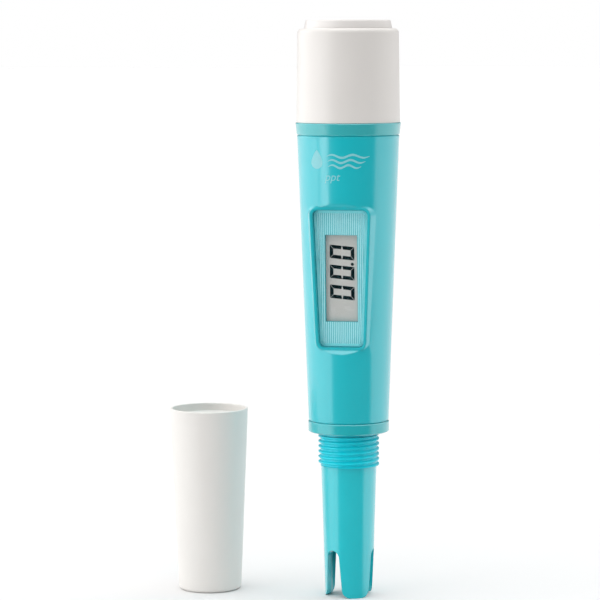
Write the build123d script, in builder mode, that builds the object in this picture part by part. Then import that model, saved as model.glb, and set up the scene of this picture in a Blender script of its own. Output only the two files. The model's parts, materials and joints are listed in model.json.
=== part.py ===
from build123d import *
from math import atan, cos, degrees, radians, sin, sqrt
import os

# Pen-type digital water tester, standing on the three tips of its probe guard, with its
# protective cap standing beside it.  Millimetres, +Z up, origin on the tester's axis in the
# plane of the guard's tips.  The display faces -Y.

# ---------------------------------------------------------------- driving dimensions
# heights, from the guard's tips upwards
probe_length = 56.4             # tips to the underside of the lower collar
lower_collar_height = 3.7
body_length = 96.6
upper_collar_height = 4.1
button_height = 2.8             # skirt that shows above the cover
button_crown = 0.15

# outer radii; the head's radii follow from the cells it holds
tip_radius = 8.05
tube_top_radius = 9.42
body_bottom_radius = 13.55
lower_collar_step = 0.15        # lower collar beyond the body's lower end
upper_collar_step = 0.14        # upper collar's foot beyond the body's upper end
upper_collar_flare = 0.36
cover_step = 0.3                # cover's foot inside the upper collar's rim
cover_taper = 0.4
button_margin = 2.1             # cover's rim round the button
button_taper = 0.65

# body shell
body_wall = 2.0
seam_chamfer = 0.35
joint_depth = 6.0               # how far each end piece plugs into the body
spigot_clearance = 0.1

# display window, its flat pad on the body and the window's seat
display_rise = 49.0             # body's lower end to the centre of the display
pad_sink = 1.3                  # pad plane below the front of the body
pad_border = 1.1
pad_side_growth = 1.9           # how much wider the pad's foot is than its flat, per side
pad_foot_depth = 5.2
pad_wall_growth = 1.4
pad_wall_height = 1.5
window_length = 45.8
window_top_width = 18.6
window_bottom_width = 14.8
window_corner = 1.8
window_thickness = 1.3
window_clearance = 0.12
window_recess = 0.4             # window face below the pad
window_bevel = 0.25
gasket_thickness = 0.2
gasket_width = 0.9
seat_wall = 1.2                 # body wall behind the window's seat
view_width = 10.85
view_length = 29.0

# display module, on the same slant as the pad
layer_gap = 0.1
glass_side_border = 1.075
glass_end_border = 2.2
glass_thickness = 1.8
reflector_thickness = 0.3
holder_side = 1.43
holder_end = 5.23
holder_chamfer = 1.2
holder_clearance = 0.07
zebra_width = 1.4
zebra_edge_gap = 0.1

# main circuit board
board_width = 17.0
board_length = 84.0
board_thickness = 1.2
board_front_depth = 6.8         # pad plane to the board's front face
board_corner = 1.0
board_screw_inset = 2.7         # screw's axis inside the holder's end
board_screw_radius = 0.8
board_screw_head_radius = 1.5
board_screw_head_height = 1.1
board_screw_grip = 3.4
screw_clearance = 0.03
rail_lap = 0.9
rail_thickness = 1.1
rail_gap = 0.1
rail_end_gap = 4.0              # rails stop this far from the display's holder
chip_size = 7.0
chip_height = 1.4
part_gap = 0.05

# neck, cover seal and deck
neck_height = 6.0
neck_wall = 1.7
neck_clearance = 0.2            # neck to the cover's bore
spigot_wall = 1.4
deck_thickness = 2.0
deck_rise = 0.5                 # deck's top above the collar's top
seal_section_radius = 0.65
seal_clearance = 0.05
seal_floor_gap = 0.05
seal_rise = 3.2

# battery cover
cover_shoulder = 1.5
cover_wall = 1.9
cover_roof = 2.0
recess_depth = 1.8              # button's recess in the cover's top
recess_clearance = 0.2
guide_radius = 4.9
guide_drop = 2.95               # guide tube below the cover's ceiling
guide_clearance = 0.1

# power button
stem_radius = 2.5
button_wall = 1.5
button_roof = 1.4
button_hub_radius = 4.7
button_sink = 0.5               # button's skirt below the cover's rim
button_travel = 1.0
clip_height = 0.5
clip_reach = 0.9
clip_groove_depth = 0.5
clip_gap = 0.05
stem_end_below_clip = 0.6
spring_wire_radius = 0.22
spring_mean_radius = 3.3
spring_turns = 5
spring_pocket_radius = 3.95
spring_pocket_depth = 3.45

# switch on its round board
plunger_gap = 0.05
plunger_radius = 1.5
plunger_clearance = 0.1
plunger_head_height = 1.65
plunger_length = 4.2
plunger_well = 0.2              # room under the plunger at the end of its travel
switch_size = 6.2
switch_height = 4.6
switch_board_margin = 0.6
switch_board_thickness = 1.2

# cells and their carrier
cell_radius = 5.8
cell_height = 5.4
cell_cap_radius = 4.9
cell_cap_height = 0.9
cells_per_stack = 2
cell_clearance = 0.15
cell_gap = 0.02
stack_web = 1.3                 # carrier wall between the two stacks
carrier_edge = 0.65             # carrier beyond its pockets
carrier_clearance = 0.4         # carrier to the neck's bore
carrier_floor = 1.7
carrier_rim = 1.2
bridge_thickness = 0.3
bridge_width = 6.0
bridge_length = 21.0
bridge_play = 0.2               # carrier's slot beyond the bridge
leaf_thickness = 0.25
leaf_width = 3.0
leaf_space = 2.66               # room for the contact leaves above the cells
post_inset = 3.6                # screw's axis inside the carrier's edge
post_hole_clearance = 0.15
carrier_screw_radius = 0.85
carrier_screw_head_radius = 1.7
carrier_screw_head_height = 1.2
screw_tip_cover = 0.3           # deck left under the screws' tips

# wires
wire_radius = 0.5
wire_gap = 0.03
lead_spacing = 5.0
lead_groove_width = 1.7

# small edges
edge_break = 0.3                # chamfer or rounding of a moulded edge

# probe housing, thread and guard
thread_neck = 1.2               # plain stretch between thread and collar
thread_root_radius = 9.57
thread_crest_radius = 10.32
thread_pitch = 1.74
thread_run = 10.4
thread_foot_width = 1.25
thread_crest_width = 0.4
thread_sink = 0.3               # how deep the ridge's foot is buried in its core
thread_start = 137.0            # where the thread begins, in degrees about the axis
tube_wall = 1.94
bore_radius = 7.5
slot_height = 16.2
slot_top_half_width = 2.55
slot_bottom_half_width = 3.25
tip_round = 2.9

# electrodes
potting_rise = 1.0              # potting's face above the slots
potting_top_drop = 4.4          # potting's top below the housing's top
potting_clearance = 0.05
pin_radius = 0.9
pin_offset = 1.7
pin_setback = -0.8
pin_end = 4.4
pin_top_rise = 3.0              # solder ends above the potting
pin_hole_clearance = 0.03
sensor_radius = 0.8
sensor_setback = 2.3
sensor_end = 7.0

# protective cap, standing mouth up beside the tester
cap_x = -49.3
cap_y = 2.1
cap_tip_room = 4.75             # guard's tips to the cap's floor when it is on
cap_rim_step = 0.3              # rim inside the lower collar's edge
cap_taper = 2.65
cap_wall = 1.2
cap_rim_wall = 0.9
cap_floor = 1.6
cap_lip_depth = 3.4             # plain mouth above the cap's thread
cap_base_round = 1.4
cap_thread_clearance = 0.25

# ---------------------------------------------------------------- derived radii
# outwards from the cells: carrier, neck, cover, upper collar, body
pocket_radius = cell_radius + cell_clearance
stack_offset = pocket_radius + stack_web / 2
carrier_radius = stack_offset + pocket_radius + carrier_edge
post_offset = carrier_radius - post_inset
switch_board_radius = carrier_radius - switch_board_margin
neck_inner_radius = carrier_radius + carrier_clearance
neck_radius = neck_inner_radius + neck_wall
cover_bore_radius = neck_radius + neck_clearance
cover_bottom_radius = cover_bore_radius + cover_wall
cover_top_radius = cover_bottom_radius - cover_taper
button_bottom_radius = cover_top_radius - button_margin
button_top_radius = button_bottom_radius - button_taper
upper_collar_top_radius = cover_bottom_radius + cover_step
upper_collar_bottom_radius = upper_collar_top_radius - upper_collar_flare
body_top_radius = upper_collar_bottom_radius - upper_collar_step
lower_collar_radius = body_bottom_radius + lower_collar_step
cap_rim_radius = lower_collar_radius - cap_rim_step
cap_base_radius = cap_rim_radius - cap_taper

# ---------------------------------------------------------------- derived stations
collar_bottom_z = probe_length
thread_base = probe_length - thread_neck - thread_run
body_bottom_z = collar_bottom_z + lower_collar_height
body_top_z = body_bottom_z + body_length
cover_bottom_z = body_top_z + upper_collar_height
# upwards through the head: deck, cells, switch, button's stem, cover's top
deck_top_z = cover_bottom_z + deck_rise
deck_bottom_z = deck_top_z - deck_thickness
pocket_floor_z = deck_top_z + carrier_floor
cells_bottom_z = pocket_floor_z + bridge_thickness
cells_top_z = cells_bottom_z + cells_per_stack * (cell_height + cell_gap)
carrier_top_z = cells_top_z + leaf_space
switch_bottom_z = carrier_top_z + switch_board_thickness
switch_top_z = switch_bottom_z + switch_height
plunger_top_z = switch_top_z + plunger_head_height
plunger_bottom_z = plunger_top_z - plunger_length
stem_end_z = plunger_top_z + plunger_gap
clip_bottom_z = stem_end_z + stem_end_below_clip
clip_top_z = clip_bottom_z + clip_height
guide_bottom_z = clip_top_z + clip_gap
ceiling_z = guide_bottom_z + guide_drop
recess_floor_z = ceiling_z + cover_roof
cover_top_z = recess_floor_z + recess_depth
button_foot_z = cover_top_z - button_sink
button_top_z = cover_top_z + button_height
cap_height = probe_length + cap_tip_room + cap_floor

body_slope = (body_top_radius - body_bottom_radius) / body_length
body_lean = degrees(atan(body_slope))
display_z = body_bottom_z + display_rise


def body_radius(z):
    """Outer radius of the body's cone at height z."""
    return body_bottom_radius + body_slope * (z - body_bottom_z)


def tube_radius(z):
    """Outer radius of the probe tube's cone at height z."""
    return tip_radius + (tube_top_radius - tip_radius) * z / thread_base


def cap_radius(z):
    """Outer radius of the protective cap at height z."""
    return cap_base_radius + (cap_rim_radius - cap_base_radius) * z / cap_height


# The pad's plane, parallel to the body's front: local x is +X, local y runs up the body,
# and the local normal points out of the display.
pad = Plane(
    origin=(0, -(body_radius(display_z) - pad_sink), display_z),
    x_dir=(1, 0, 0),
    z_dir=(0, -cos(radians(body_lean)), -sin(radians(body_lean))),
)
window_face_depth = window_recess
window_back_depth = window_face_depth + window_thickness
seat_depth = window_back_depth + gasket_thickness
seat_back_depth = seat_depth + seat_wall
glass_front_depth = seat_back_depth + layer_gap
glass_back_depth = glass_front_depth + glass_thickness
reflector_back_depth = glass_back_depth + reflector_thickness
board_back_depth = board_front_depth + board_thickness
holder_front_depth = seat_back_depth + layer_gap / 2
glass_width = view_width + 2 * glass_side_border
glass_length = view_length + 2 * glass_end_border
holder_width = glass_width + 2 * (holder_clearance + holder_side)
holder_length = glass_length + 2 * (holder_clearance + holder_end)
board_screw_pitch = holder_length - 2 * board_screw_inset


def depth(amount):
    """Plane parallel to the pad, the given amount behind it."""
    return pad.offset(-amount)


def window_outline(margin):
    """The window's tapered outline with rounded corners, grown all round by margin."""
    with BuildSketch() as outline:
        with BuildLine():
            Polyline(
                (-window_bottom_width / 2, -window_length / 2),
                (window_bottom_width / 2, -window_length / 2),
                (window_top_width / 2, window_length / 2),
                (-window_top_width / 2, window_length / 2),
                close=True,
            )
        make_face()
        fillet(outline.vertices(), radius=window_corner)
        offset(amount=margin)
    return outline.sketch


def thread_ridge(root_radius, crest_radius, foot_width, crest_width, bottom_z, run):
    """Right-hand ridge of the thread, sunk a little into its core, trimmed flat at both ends."""
    turns_over = thread_pitch / 2
    height = crest_radius - root_radius
    flare = thread_sink * (foot_width - crest_width) / 2 / height
    with BuildPart() as ridge:
        with BuildLine() as helix_line:
            Helix(
                pitch=thread_pitch,
                height=run + 2 * turns_over,
                radius=root_radius,
                center=(0, 0, bottom_z - turns_over),
            )
        start = helix_line.line @ 0
        with BuildSketch(Plane(origin=start, x_dir=(1, 0, 0), z_dir=helix_line.line % 0)):
            with BuildLine():
                Polyline(
                    (-thread_sink, -foot_width / 2 - flare),
                    (height, -crest_width / 2),
                    (height, crest_width / 2),
                    (-thread_sink, foot_width / 2 + flare),
                    close=True,
                )
            make_face()
        sweep(path=helix_line.line, is_frenet=True)
        with Locations((0, 0, bottom_z + run / 2)):
            Cylinder(crest_radius + 1, run, mode=Mode.INTERSECT)
    return ridge.part.rotate(Axis.Z, thread_start)


def write(name, node):
    """Label a finished piece with its node's name and write its STEP file."""
    name.part.label = node
    export_step(name.part, f"parts/{node}.step")


os.makedirs("parts", exist_ok=True)

# ---------------------------------------------------------------- body shell
inner_top_radius = body_top_radius - body_wall
upper_socket_radius = inner_top_radius + 0.2
lower_socket_radius = body_bottom_radius - body_wall + 0.05
lower_socket_top_z = body_bottom_z + joint_depth + 0.5

# Hollow of the shell: a cone, minus the flat wall behind the window and the board's rails.
with BuildPart() as body_hollow:
    with BuildSketch(Plane.XZ):
        with BuildLine():
            Polyline(
                (0, lower_socket_top_z),
                (body_radius(lower_socket_top_z) - body_wall, lower_socket_top_z),
                (body_radius(body_top_z) - body_wall, body_top_z),
                (0, body_top_z),
                close=True,
            )
        make_face()
    revolve(axis=Axis.Z)
    with BuildSketch(depth(seat_back_depth)):
        Rectangle(4 * body_top_radius, window_length + 2 * pad_border + 4)
    extrude(amount=body_top_radius, mode=Mode.SUBTRACT)
    # lower rails: a groove for each edge of the board
    lower_rail_length = (board_length - holder_length) / 2 - rail_end_gap
    lower_rail_y = -board_length / 2 + lower_rail_length / 2
    rail_x = board_width / 2 - rail_lap + body_top_radius / 2
    with BuildSketch(depth(board_front_depth - rail_gap - rail_thickness)):
        for side in (-1, 1):
            with Locations((side * rail_x, lower_rail_y)):
                Rectangle(body_top_radius, lower_rail_length)
    extrude(amount=-rail_thickness, mode=Mode.SUBTRACT)
    # rear ledges, lower and upper: the board's back rests on them
    with BuildSketch(depth(board_back_depth + rail_gap)):
        for side in (-1, 1):
            for end in (-1, 1):
                with Locations((side * rail_x, end * -lower_rail_y)):
                    Rectangle(body_top_radius, lower_rail_length)
    extrude(amount=-rail_thickness, mode=Mode.SUBTRACT)

with BuildPart() as body_shell:
    with BuildSketch(Plane.XZ):
        with BuildLine():
            Polyline(
                (0, body_bottom_z),
                (body_bottom_radius, body_bottom_z),
                (body_top_radius, body_top_z),
                (0, body_top_z),
                close=True,
            )
        make_face()
    revolve(axis=Axis.Z)
    # raised flanks of the display pad
    with BuildSketch(depth(pad_foot_depth)):
        add(window_outline(pad_border + pad_side_growth))
    with BuildSketch(pad):
        add(window_outline(pad_border))
    loft()
    # pocket down to the pad's plane: a steep wall, then a shallow ramp to the body's surface
    with BuildSketch(pad):
        add(window_outline(pad_border))
    with BuildSketch(pad.offset(pad_wall_height)):
        add(window_outline(pad_border + pad_wall_growth))
    loft(mode=Mode.SUBTRACT)
    # seat for the window, and the opening over the display
    with BuildSketch(depth(seat_depth)):
        add(window_outline(window_clearance))
    extrude(amount=seat_depth + 1, mode=Mode.SUBTRACT)
    add(body_hollow.part, mode=Mode.SUBTRACT)
    with BuildSketch(pad):
        Rectangle(view_width, view_length)
    extrude(amount=-seat_back_depth - 1, mode=Mode.SUBTRACT)
    # room for the display's holder where the wall curves in behind it
    with BuildSketch(depth(board_front_depth)):
        Rectangle(holder_width + 2 * holder_clearance, holder_length + 2 * holder_clearance)
    extrude(amount=board_front_depth - holder_front_depth, mode=Mode.SUBTRACT)
    # sockets for the neck ring and the probe housing
    with BuildSketch(Plane.XY.offset(body_top_z - joint_depth)):
        Circle(upper_socket_radius)
    extrude(amount=joint_depth, mode=Mode.SUBTRACT)
    with BuildSketch(Plane.XY.offset(body_bottom_z)):
        Circle(lower_socket_radius)
    extrude(amount=lower_socket_top_z - body_bottom_z, mode=Mode.SUBTRACT)
    outer_rims = body_shell.edges().filter_by(GeomType.CIRCLE).group_by(Axis.Z)
    top_rim = outer_rims[-1].sort_by(SortBy.RADIUS)[-1]
    bottom_rim = outer_rims[0].sort_by(SortBy.RADIUS)[-1]
    chamfer(top_rim, length=seam_chamfer)
    chamfer(bottom_rim, length=seam_chamfer)
write(body_shell, "body_shell")

# ---------------------------------------------------------------- window and display
with BuildPart() as display_window:
    with BuildSketch(depth(window_back_depth)):
        add(window_outline(0))
    extrude(amount=window_thickness)
    front_edges = display_window.faces().sort_by(Axis.Y)[0].edges()
    chamfer(front_edges, length=window_bevel)
write(display_window, "display_window")

with BuildPart() as window_gasket:
    with BuildSketch(depth(seat_depth)):
        add(window_outline(-window_clearance))
        add(window_outline(-window_clearance - gasket_width), mode=Mode.SUBTRACT)
    extrude(amount=gasket_thickness)
write(window_gasket, "window_gasket")

with BuildPart() as lcd_glass:
    with BuildSketch(depth(glass_back_depth)):
        Rectangle(glass_width, glass_length)
    extrude(amount=glass_thickness)
write(lcd_glass, "lcd_glass")

zebra_offset = glass_length / 2 - zebra_width / 2 - zebra_edge_gap
with BuildPart() as lcd_reflector:
    with BuildSketch(depth(reflector_back_depth)):
        Rectangle(glass_width - 0.6, 2 * zebra_offset - zebra_width - 0.4)
    extrude(amount=reflector_thickness)
write(lcd_reflector, "lcd_reflector")

with BuildPart() as zebra_strips:
    with BuildSketch(depth(board_front_depth)):
        with Locations((0, -zebra_offset), (0, zebra_offset)):
            Rectangle(glass_width - 1, zebra_width)
    extrude(amount=board_front_depth - glass_back_depth)
write(zebra_strips, "zebra_strips")

with BuildPart() as lcd_holder:
    with BuildSketch(depth(board_front_depth)):
        Rectangle(holder_width, holder_length)
        Rectangle(
            glass_width + 2 * holder_clearance,
            glass_length + 2 * holder_clearance,
            mode=Mode.SUBTRACT,
        )
    extrude(amount=board_front_depth - holder_front_depth)
    long_front_edges = (
        lcd_holder.edges()
        .filter_by(lambda edge: abs(edge.length - holder_length) < 0.01)
        .sort_by(Axis.Y)[:2]
    )
    chamfer(long_front_edges, length=holder_chamfer)
    with BuildSketch(depth(board_front_depth)):
        with GridLocations(0, board_screw_pitch, 1, 2):
            Circle(board_screw_radius + screw_clearance)
    extrude(amount=board_screw_grip - board_thickness + 0.3, mode=Mode.SUBTRACT)
write(lcd_holder, "lcd_holder")

# ---------------------------------------------------------------- main board
with BuildPart() as circuit_board:
    with BuildSketch(depth(board_back_depth)):
        RectangleRounded(board_width, board_length, board_corner)
        with GridLocations(0, board_screw_pitch, 1, 2):
            Circle(board_screw_radius + 0.25, mode=Mode.SUBTRACT)
    extrude(amount=board_thickness)
write(circuit_board, "circuit_board")

with BuildPart() as board_screws:
    with BuildSketch(depth(board_back_depth)):
        with GridLocations(0, board_screw_pitch, 1, 2):
            Circle(board_screw_head_radius)
    extrude(amount=-board_screw_head_height)
    chamfer(board_screws.faces().sort_by(Axis.Y)[-2:].edges(), length=edge_break)
    with BuildSketch(depth(board_back_depth)):
        with GridLocations(0, board_screw_pitch, 1, 2):
            Circle(board_screw_radius)
    extrude(amount=board_screw_grip)
write(board_screws, "board_screws")

chip_y = -6.0
with BuildPart() as microcontroller:
    with BuildSketch(depth(board_back_depth + part_gap)):
        with Locations((0, chip_y)):
            Rectangle(chip_size, chip_size)
    extrude(amount=-chip_height)
    chip_back = microcontroller.faces().sort_by(Axis.Y)[-1]
    chamfer(chip_back.edges(), length=0.2)
write(microcontroller, "microcontroller")

# capacitors, a crystal can and an amplifier on the board's back
small_parts = [
    ((-5.5, 8.0), (1.6, 0.9), 0.8),
    ((-5.5, 5.5), (1.6, 0.9), 0.8),
    ((5.5, 6.8), (1.6, 3.2), 0.9),
    ((-5.8, -8.0), (1.2, 2.0), 0.6),
    ((5.8, -8.0), (1.2, 2.0), 0.6),
    ((0, 10.0), (3.2, 7.0), 2.4),
    ((0, -28.0), (5.0, 4.0), 1.5),
    ((0, 30.0), (4.0, 5.0), 1.5),
]
with BuildPart() as board_components:
    for place, footprint, height in small_parts:
        with BuildSketch(depth(board_back_depth + part_gap)):
            with Locations(place):
                Rectangle(*footprint)
        extrude(amount=-height)
write(board_components, "board_components")

# ---------------------------------------------------------------- upper collar and neck
neck_top_z = cover_bottom_z + neck_height
spigot_radius = upper_socket_radius - spigot_clearance
seal_ring_radius = cover_bore_radius - seal_clearance - seal_section_radius
seal_groove_radius = seal_ring_radius - seal_section_radius - seal_floor_gap
seal_z = cover_bottom_z + seal_rise
lead_y = -(carrier_radius - lead_groove_width / 2)

with BuildPart() as neck_ring:
    with BuildSketch(Plane.XZ):
        with BuildLine():
            Polyline(
                (spigot_radius - spigot_wall, body_top_z - joint_depth),
                (spigot_radius, body_top_z - joint_depth),
                (spigot_radius, body_top_z),
                (upper_collar_bottom_radius - seam_chamfer, body_top_z),
                (upper_collar_bottom_radius, body_top_z + seam_chamfer),
                (upper_collar_top_radius, cover_bottom_z),
                (neck_radius, cover_bottom_z),
                (neck_radius, seal_z - seal_section_radius - seal_floor_gap),
                (seal_groove_radius, seal_z - seal_section_radius - seal_floor_gap),
                (seal_groove_radius, seal_z + seal_section_radius + seal_floor_gap),
                (neck_radius, seal_z + seal_section_radius + seal_floor_gap),
                (neck_radius, neck_top_z - 0.4),
                (neck_radius - 0.4, neck_top_z),
                (neck_inner_radius, neck_top_z),
                (neck_inner_radius, deck_top_z),
                (0, deck_top_z),
                (0, deck_bottom_z),
                (spigot_radius - spigot_wall, deck_bottom_z),
                close=True,
            )
        make_face()
    revolve(axis=Axis.Z)
    # way through the deck for the leads, and pilot holes for the carrier's screws
    with BuildSketch(Plane.XY.offset(deck_bottom_z)):
        with Locations((0, lead_y + 0.4)):
            SlotOverall(lead_spacing + 4 * wire_radius, 4.4 * wire_radius)
        with GridLocations(0, 2 * post_offset, 1, 2):
            Circle(carrier_screw_radius + screw_clearance)
    extrude(amount=deck_thickness, mode=Mode.SUBTRACT)
    collar_rim = neck_ring.edges().filter_by(GeomType.CIRCLE).sort_by(SortBy.RADIUS)[-1]
    fillet(collar_rim, radius=edge_break)
write(neck_ring, "neck_ring")

with BuildPart() as cover_seal:
    with Locations((0, 0, seal_z)):
        Torus(seal_ring_radius, seal_section_radius)
write(cover_seal, "cover_seal")

# ---------------------------------------------------------------- battery cover
spring_floor_z = recess_floor_z - spring_pocket_depth
cover_inner_top_radius = cover_top_radius - cover_wall
guide_bore_radius = stem_radius + guide_clearance

with BuildPart() as battery_cover:
    with BuildSketch(Plane.XZ):
        with BuildLine():
            Polyline(
                (guide_bore_radius, guide_bottom_z),
                (guide_radius, guide_bottom_z),
                (guide_radius, ceiling_z),
                (cover_inner_top_radius - 0.6, ceiling_z),
                (cover_inner_top_radius, ceiling_z - 0.6),
                (cover_bore_radius, neck_top_z + 1.0),
                (cover_bore_radius, cover_bottom_z + edge_break),
                (cover_bore_radius + edge_break, cover_bottom_z),
                (cover_bottom_radius, cover_bottom_z),
                (cover_top_radius, cover_top_z),
                (button_bottom_radius + recess_clearance, cover_top_z),
                (button_bottom_radius + recess_clearance, recess_floor_z),
                (spring_pocket_radius, recess_floor_z),
                (spring_pocket_radius, spring_floor_z),
                (guide_bore_radius, spring_floor_z),
                close=True,
            )
        make_face()
    revolve(axis=Axis.Z)
    cover_circles = battery_cover.edges().filter_by(GeomType.CIRCLE)
    shoulder = cover_circles.filter_by_position(Axis.Z, cover_top_z - 0.01, cover_top_z + 0.01)
    fillet(shoulder.sort_by(SortBy.RADIUS)[-1], radius=cover_shoulder)
    foot = cover_circles.filter_by_position(Axis.Z, cover_bottom_z - 0.01, cover_bottom_z + 0.01)
    fillet(foot.sort_by(SortBy.RADIUS)[-1], radius=0.25)
write(battery_cover, "battery_cover")

# ---------------------------------------------------------------- power button
clip_inner_radius = stem_radius - clip_groove_depth
hollow_top_z = button_top_z - button_roof

with BuildPart() as power_button:
    with BuildSketch(Plane.XZ):
        with BuildLine():
            Polyline(
                (0, stem_end_z),
                (stem_radius - edge_break, stem_end_z),
                (stem_radius, stem_end_z + edge_break),
                (stem_radius, clip_bottom_z),
                (clip_inner_radius, clip_bottom_z),
                (clip_inner_radius, clip_top_z),
                (stem_radius, clip_top_z),
                (stem_radius, button_foot_z),
                (button_hub_radius, button_foot_z),
                (button_hub_radius, hollow_top_z),
                (button_bottom_radius - button_wall, hollow_top_z),
                (button_bottom_radius - button_wall, button_foot_z),
                (button_bottom_radius, button_foot_z),
                (button_top_radius, button_top_z),
            )
            ThreePointArc(
                (button_top_radius, button_top_z),
                (button_top_radius / 2, button_top_z + 0.75 * button_crown),
                (0, button_top_z + button_crown),
            )
            Line((0, button_top_z + button_crown), (0, stem_end_z))
        make_face()
    revolve(axis=Axis.Z)
    crown_rim = (
        power_button.edges()
        .filter_by(GeomType.CIRCLE)
        .filter_by_position(Axis.Z, button_top_z - 0.01, button_top_z + 0.01)
    )
    fillet(crown_rim, radius=2 * edge_break)
write(power_button, "power_button")

with BuildPart() as button_clip:
    with BuildSketch(Plane.XY.offset(clip_bottom_z + 0.02)):
        Circle(stem_radius + clip_reach)
        Circle(clip_inner_radius + 0.03, mode=Mode.SUBTRACT)
        with Locations((0, -stem_radius)):
            Rectangle(1.4 * stem_radius, 2 * stem_radius, mode=Mode.SUBTRACT)
    extrude(amount=clip_height - 0.04)
write(button_clip, "button_clip")

spring_length = button_foot_z - spring_floor_z - 0.1
with BuildPart() as button_spring:
    with BuildLine() as coil:
        Helix(
            pitch=(spring_length - 2 * spring_wire_radius) / spring_turns,
            height=spring_length - 2 * spring_wire_radius,
            radius=spring_mean_radius,
            center=(0, 0, spring_floor_z + 0.05 + spring_wire_radius),
        )
    with BuildSketch(Plane(origin=coil.line @ 0, z_dir=coil.line % 0)):
        Circle(spring_wire_radius)
    sweep(path=coil.line, is_frenet=True)
write(button_spring, "button_spring")

# ---------------------------------------------------------------- switch and its board
plunger_bore_radius = plunger_radius + plunger_clearance

with BuildPart() as switch_plunger:
    with BuildSketch(Plane.XY.offset(plunger_bottom_z)):
        Circle(plunger_radius)
    extrude(amount=plunger_length)
    chamfer(switch_plunger.edges().group_by(Axis.Z)[-1], length=0.25)
write(switch_plunger, "switch_plunger")

with BuildPart() as switch_housing:
    with BuildSketch(Plane.XY.offset(switch_bottom_z)):
        Rectangle(switch_size, switch_size)
    extrude(amount=switch_height)
    chamfer(switch_housing.edges().filter_by(Axis.Z), length=0.5)
    with BuildSketch(Plane.XY.offset(plunger_bottom_z - button_travel - plunger_well)):
        Circle(plunger_bore_radius)
    extrude(amount=switch_height, mode=Mode.SUBTRACT)
write(switch_housing, "switch_housing")

with BuildPart() as switch_board:
    with BuildSketch(Plane.XY.offset(carrier_top_z)):
        Circle(switch_board_radius)
        with GridLocations(0, 2 * post_offset, 1, 2):
            Circle(carrier_screw_radius + post_hole_clearance, mode=Mode.SUBTRACT)
    extrude(amount=switch_board_thickness)
write(switch_board, "switch_board")

# ---------------------------------------------------------------- cells and carrier
with BuildPart() as battery_carrier:
    with BuildSketch(Plane.XY.offset(deck_top_z)):
        Circle(carrier_radius)
    extrude(amount=carrier_top_z - deck_top_z)
    # two pockets, each open to its side so that the cells push in
    with BuildSketch(Plane.XY.offset(pocket_floor_z)):
        with Locations((-stack_offset, 0), (stack_offset, 0)):
            Circle(pocket_radius)
    extrude(amount=carrier_top_z - pocket_floor_z, mode=Mode.SUBTRACT)
    with BuildSketch(Plane.XY.offset(pocket_floor_z)):
        for side in (-1, 1):
            with Locations((side * (stack_offset + carrier_radius / 2), 0)):
                Rectangle(carrier_radius, 2 * pocket_radius)
    extrude(amount=carrier_top_z - carrier_rim - pocket_floor_z, mode=Mode.SUBTRACT)
    with BuildSketch(Plane.XY.offset(pocket_floor_z)):
        Rectangle(2 * stack_offset, bridge_width + bridge_play)
    extrude(amount=bridge_thickness + 0.1, mode=Mode.SUBTRACT)
    # screw holes and the leads' grooves
    with BuildSketch(Plane.XY.offset(deck_top_z)):
        with GridLocations(0, 2 * post_offset, 1, 2):
            Circle(carrier_screw_radius + post_hole_clearance)
        for side in (-1, 1):
            with Locations((side * lead_spacing / 2, -carrier_radius)):
                Rectangle(lead_groove_width, 2 * lead_groove_width)
    extrude(amount=carrier_top_z - deck_top_z, mode=Mode.SUBTRACT)
write(battery_carrier, "battery_carrier")

with BuildPart() as carrier_screws:
    with BuildSketch(Plane.XY.offset(switch_bottom_z)):
        with GridLocations(0, 2 * post_offset, 1, 2):
            Circle(carrier_screw_head_radius)
    extrude(amount=carrier_screw_head_height)
    chamfer(carrier_screws.edges().group_by(Axis.Z)[-1], length=0.35)
    with BuildSketch(Plane.XY.offset(deck_bottom_z + screw_tip_cover)):
        with GridLocations(0, 2 * post_offset, 1, 2):
            Circle(carrier_screw_radius)
    extrude(amount=switch_bottom_z - deck_bottom_z - screw_tip_cover)
write(carrier_screws, "carrier_screws")

with BuildPart() as button_cells:
    for side in (-1, 1):
        for level in range(cells_per_stack):
            cell_floor_z = cells_bottom_z + level * (cell_height + cell_gap)
            # the left stack stands with its caps down, the right one with its caps up
            cap_low = side < 0
            can_floor_z = cell_floor_z + (cell_cap_height if cap_low else 0)
            cap_floor_z = cell_floor_z + (0 if cap_low else cell_height - cell_cap_height)
            with BuildSketch(Plane.XY.offset(can_floor_z)):
                with Locations((side * stack_offset, 0)):
                    Circle(cell_radius)
            extrude(amount=cell_height - cell_cap_height)
            with BuildSketch(Plane.XY.offset(cap_floor_z)):
                with Locations((side * stack_offset, 0)):
                    Circle(cell_cap_radius)
            extrude(amount=cell_cap_height)
write(button_cells, "button_cells")

with BuildPart() as cell_bridge:
    with BuildSketch(Plane.XY.offset(pocket_floor_z)):
        SlotOverall(bridge_length, bridge_width)
    extrude(amount=bridge_thickness)
write(cell_bridge, "cell_bridge")

leaf_half_length = 3.6
leaf_top_z = carrier_top_z - leaf_thickness / 2
leaf_foot_z = cells_top_z + leaf_thickness / 2 + 0.02
with BuildPart() as contact_leaves:
    for side in (-1, 1):
        with BuildSketch(Plane.XZ):
            with BuildLine():
                Polyline(
                    (side * (stack_offset - leaf_half_length), leaf_top_z),
                    (side * (stack_offset + leaf_half_length), leaf_top_z),
                    (side * (stack_offset + leaf_half_length), leaf_top_z - 0.5),
                    (side * stack_offset, leaf_foot_z),
                    (side * (stack_offset - 2), leaf_foot_z + 0.6),
                )
            trace(line_width=leaf_thickness)
        extrude(amount=leaf_width / 2, both=True)
write(contact_leaves, "contact_leaves")

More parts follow.
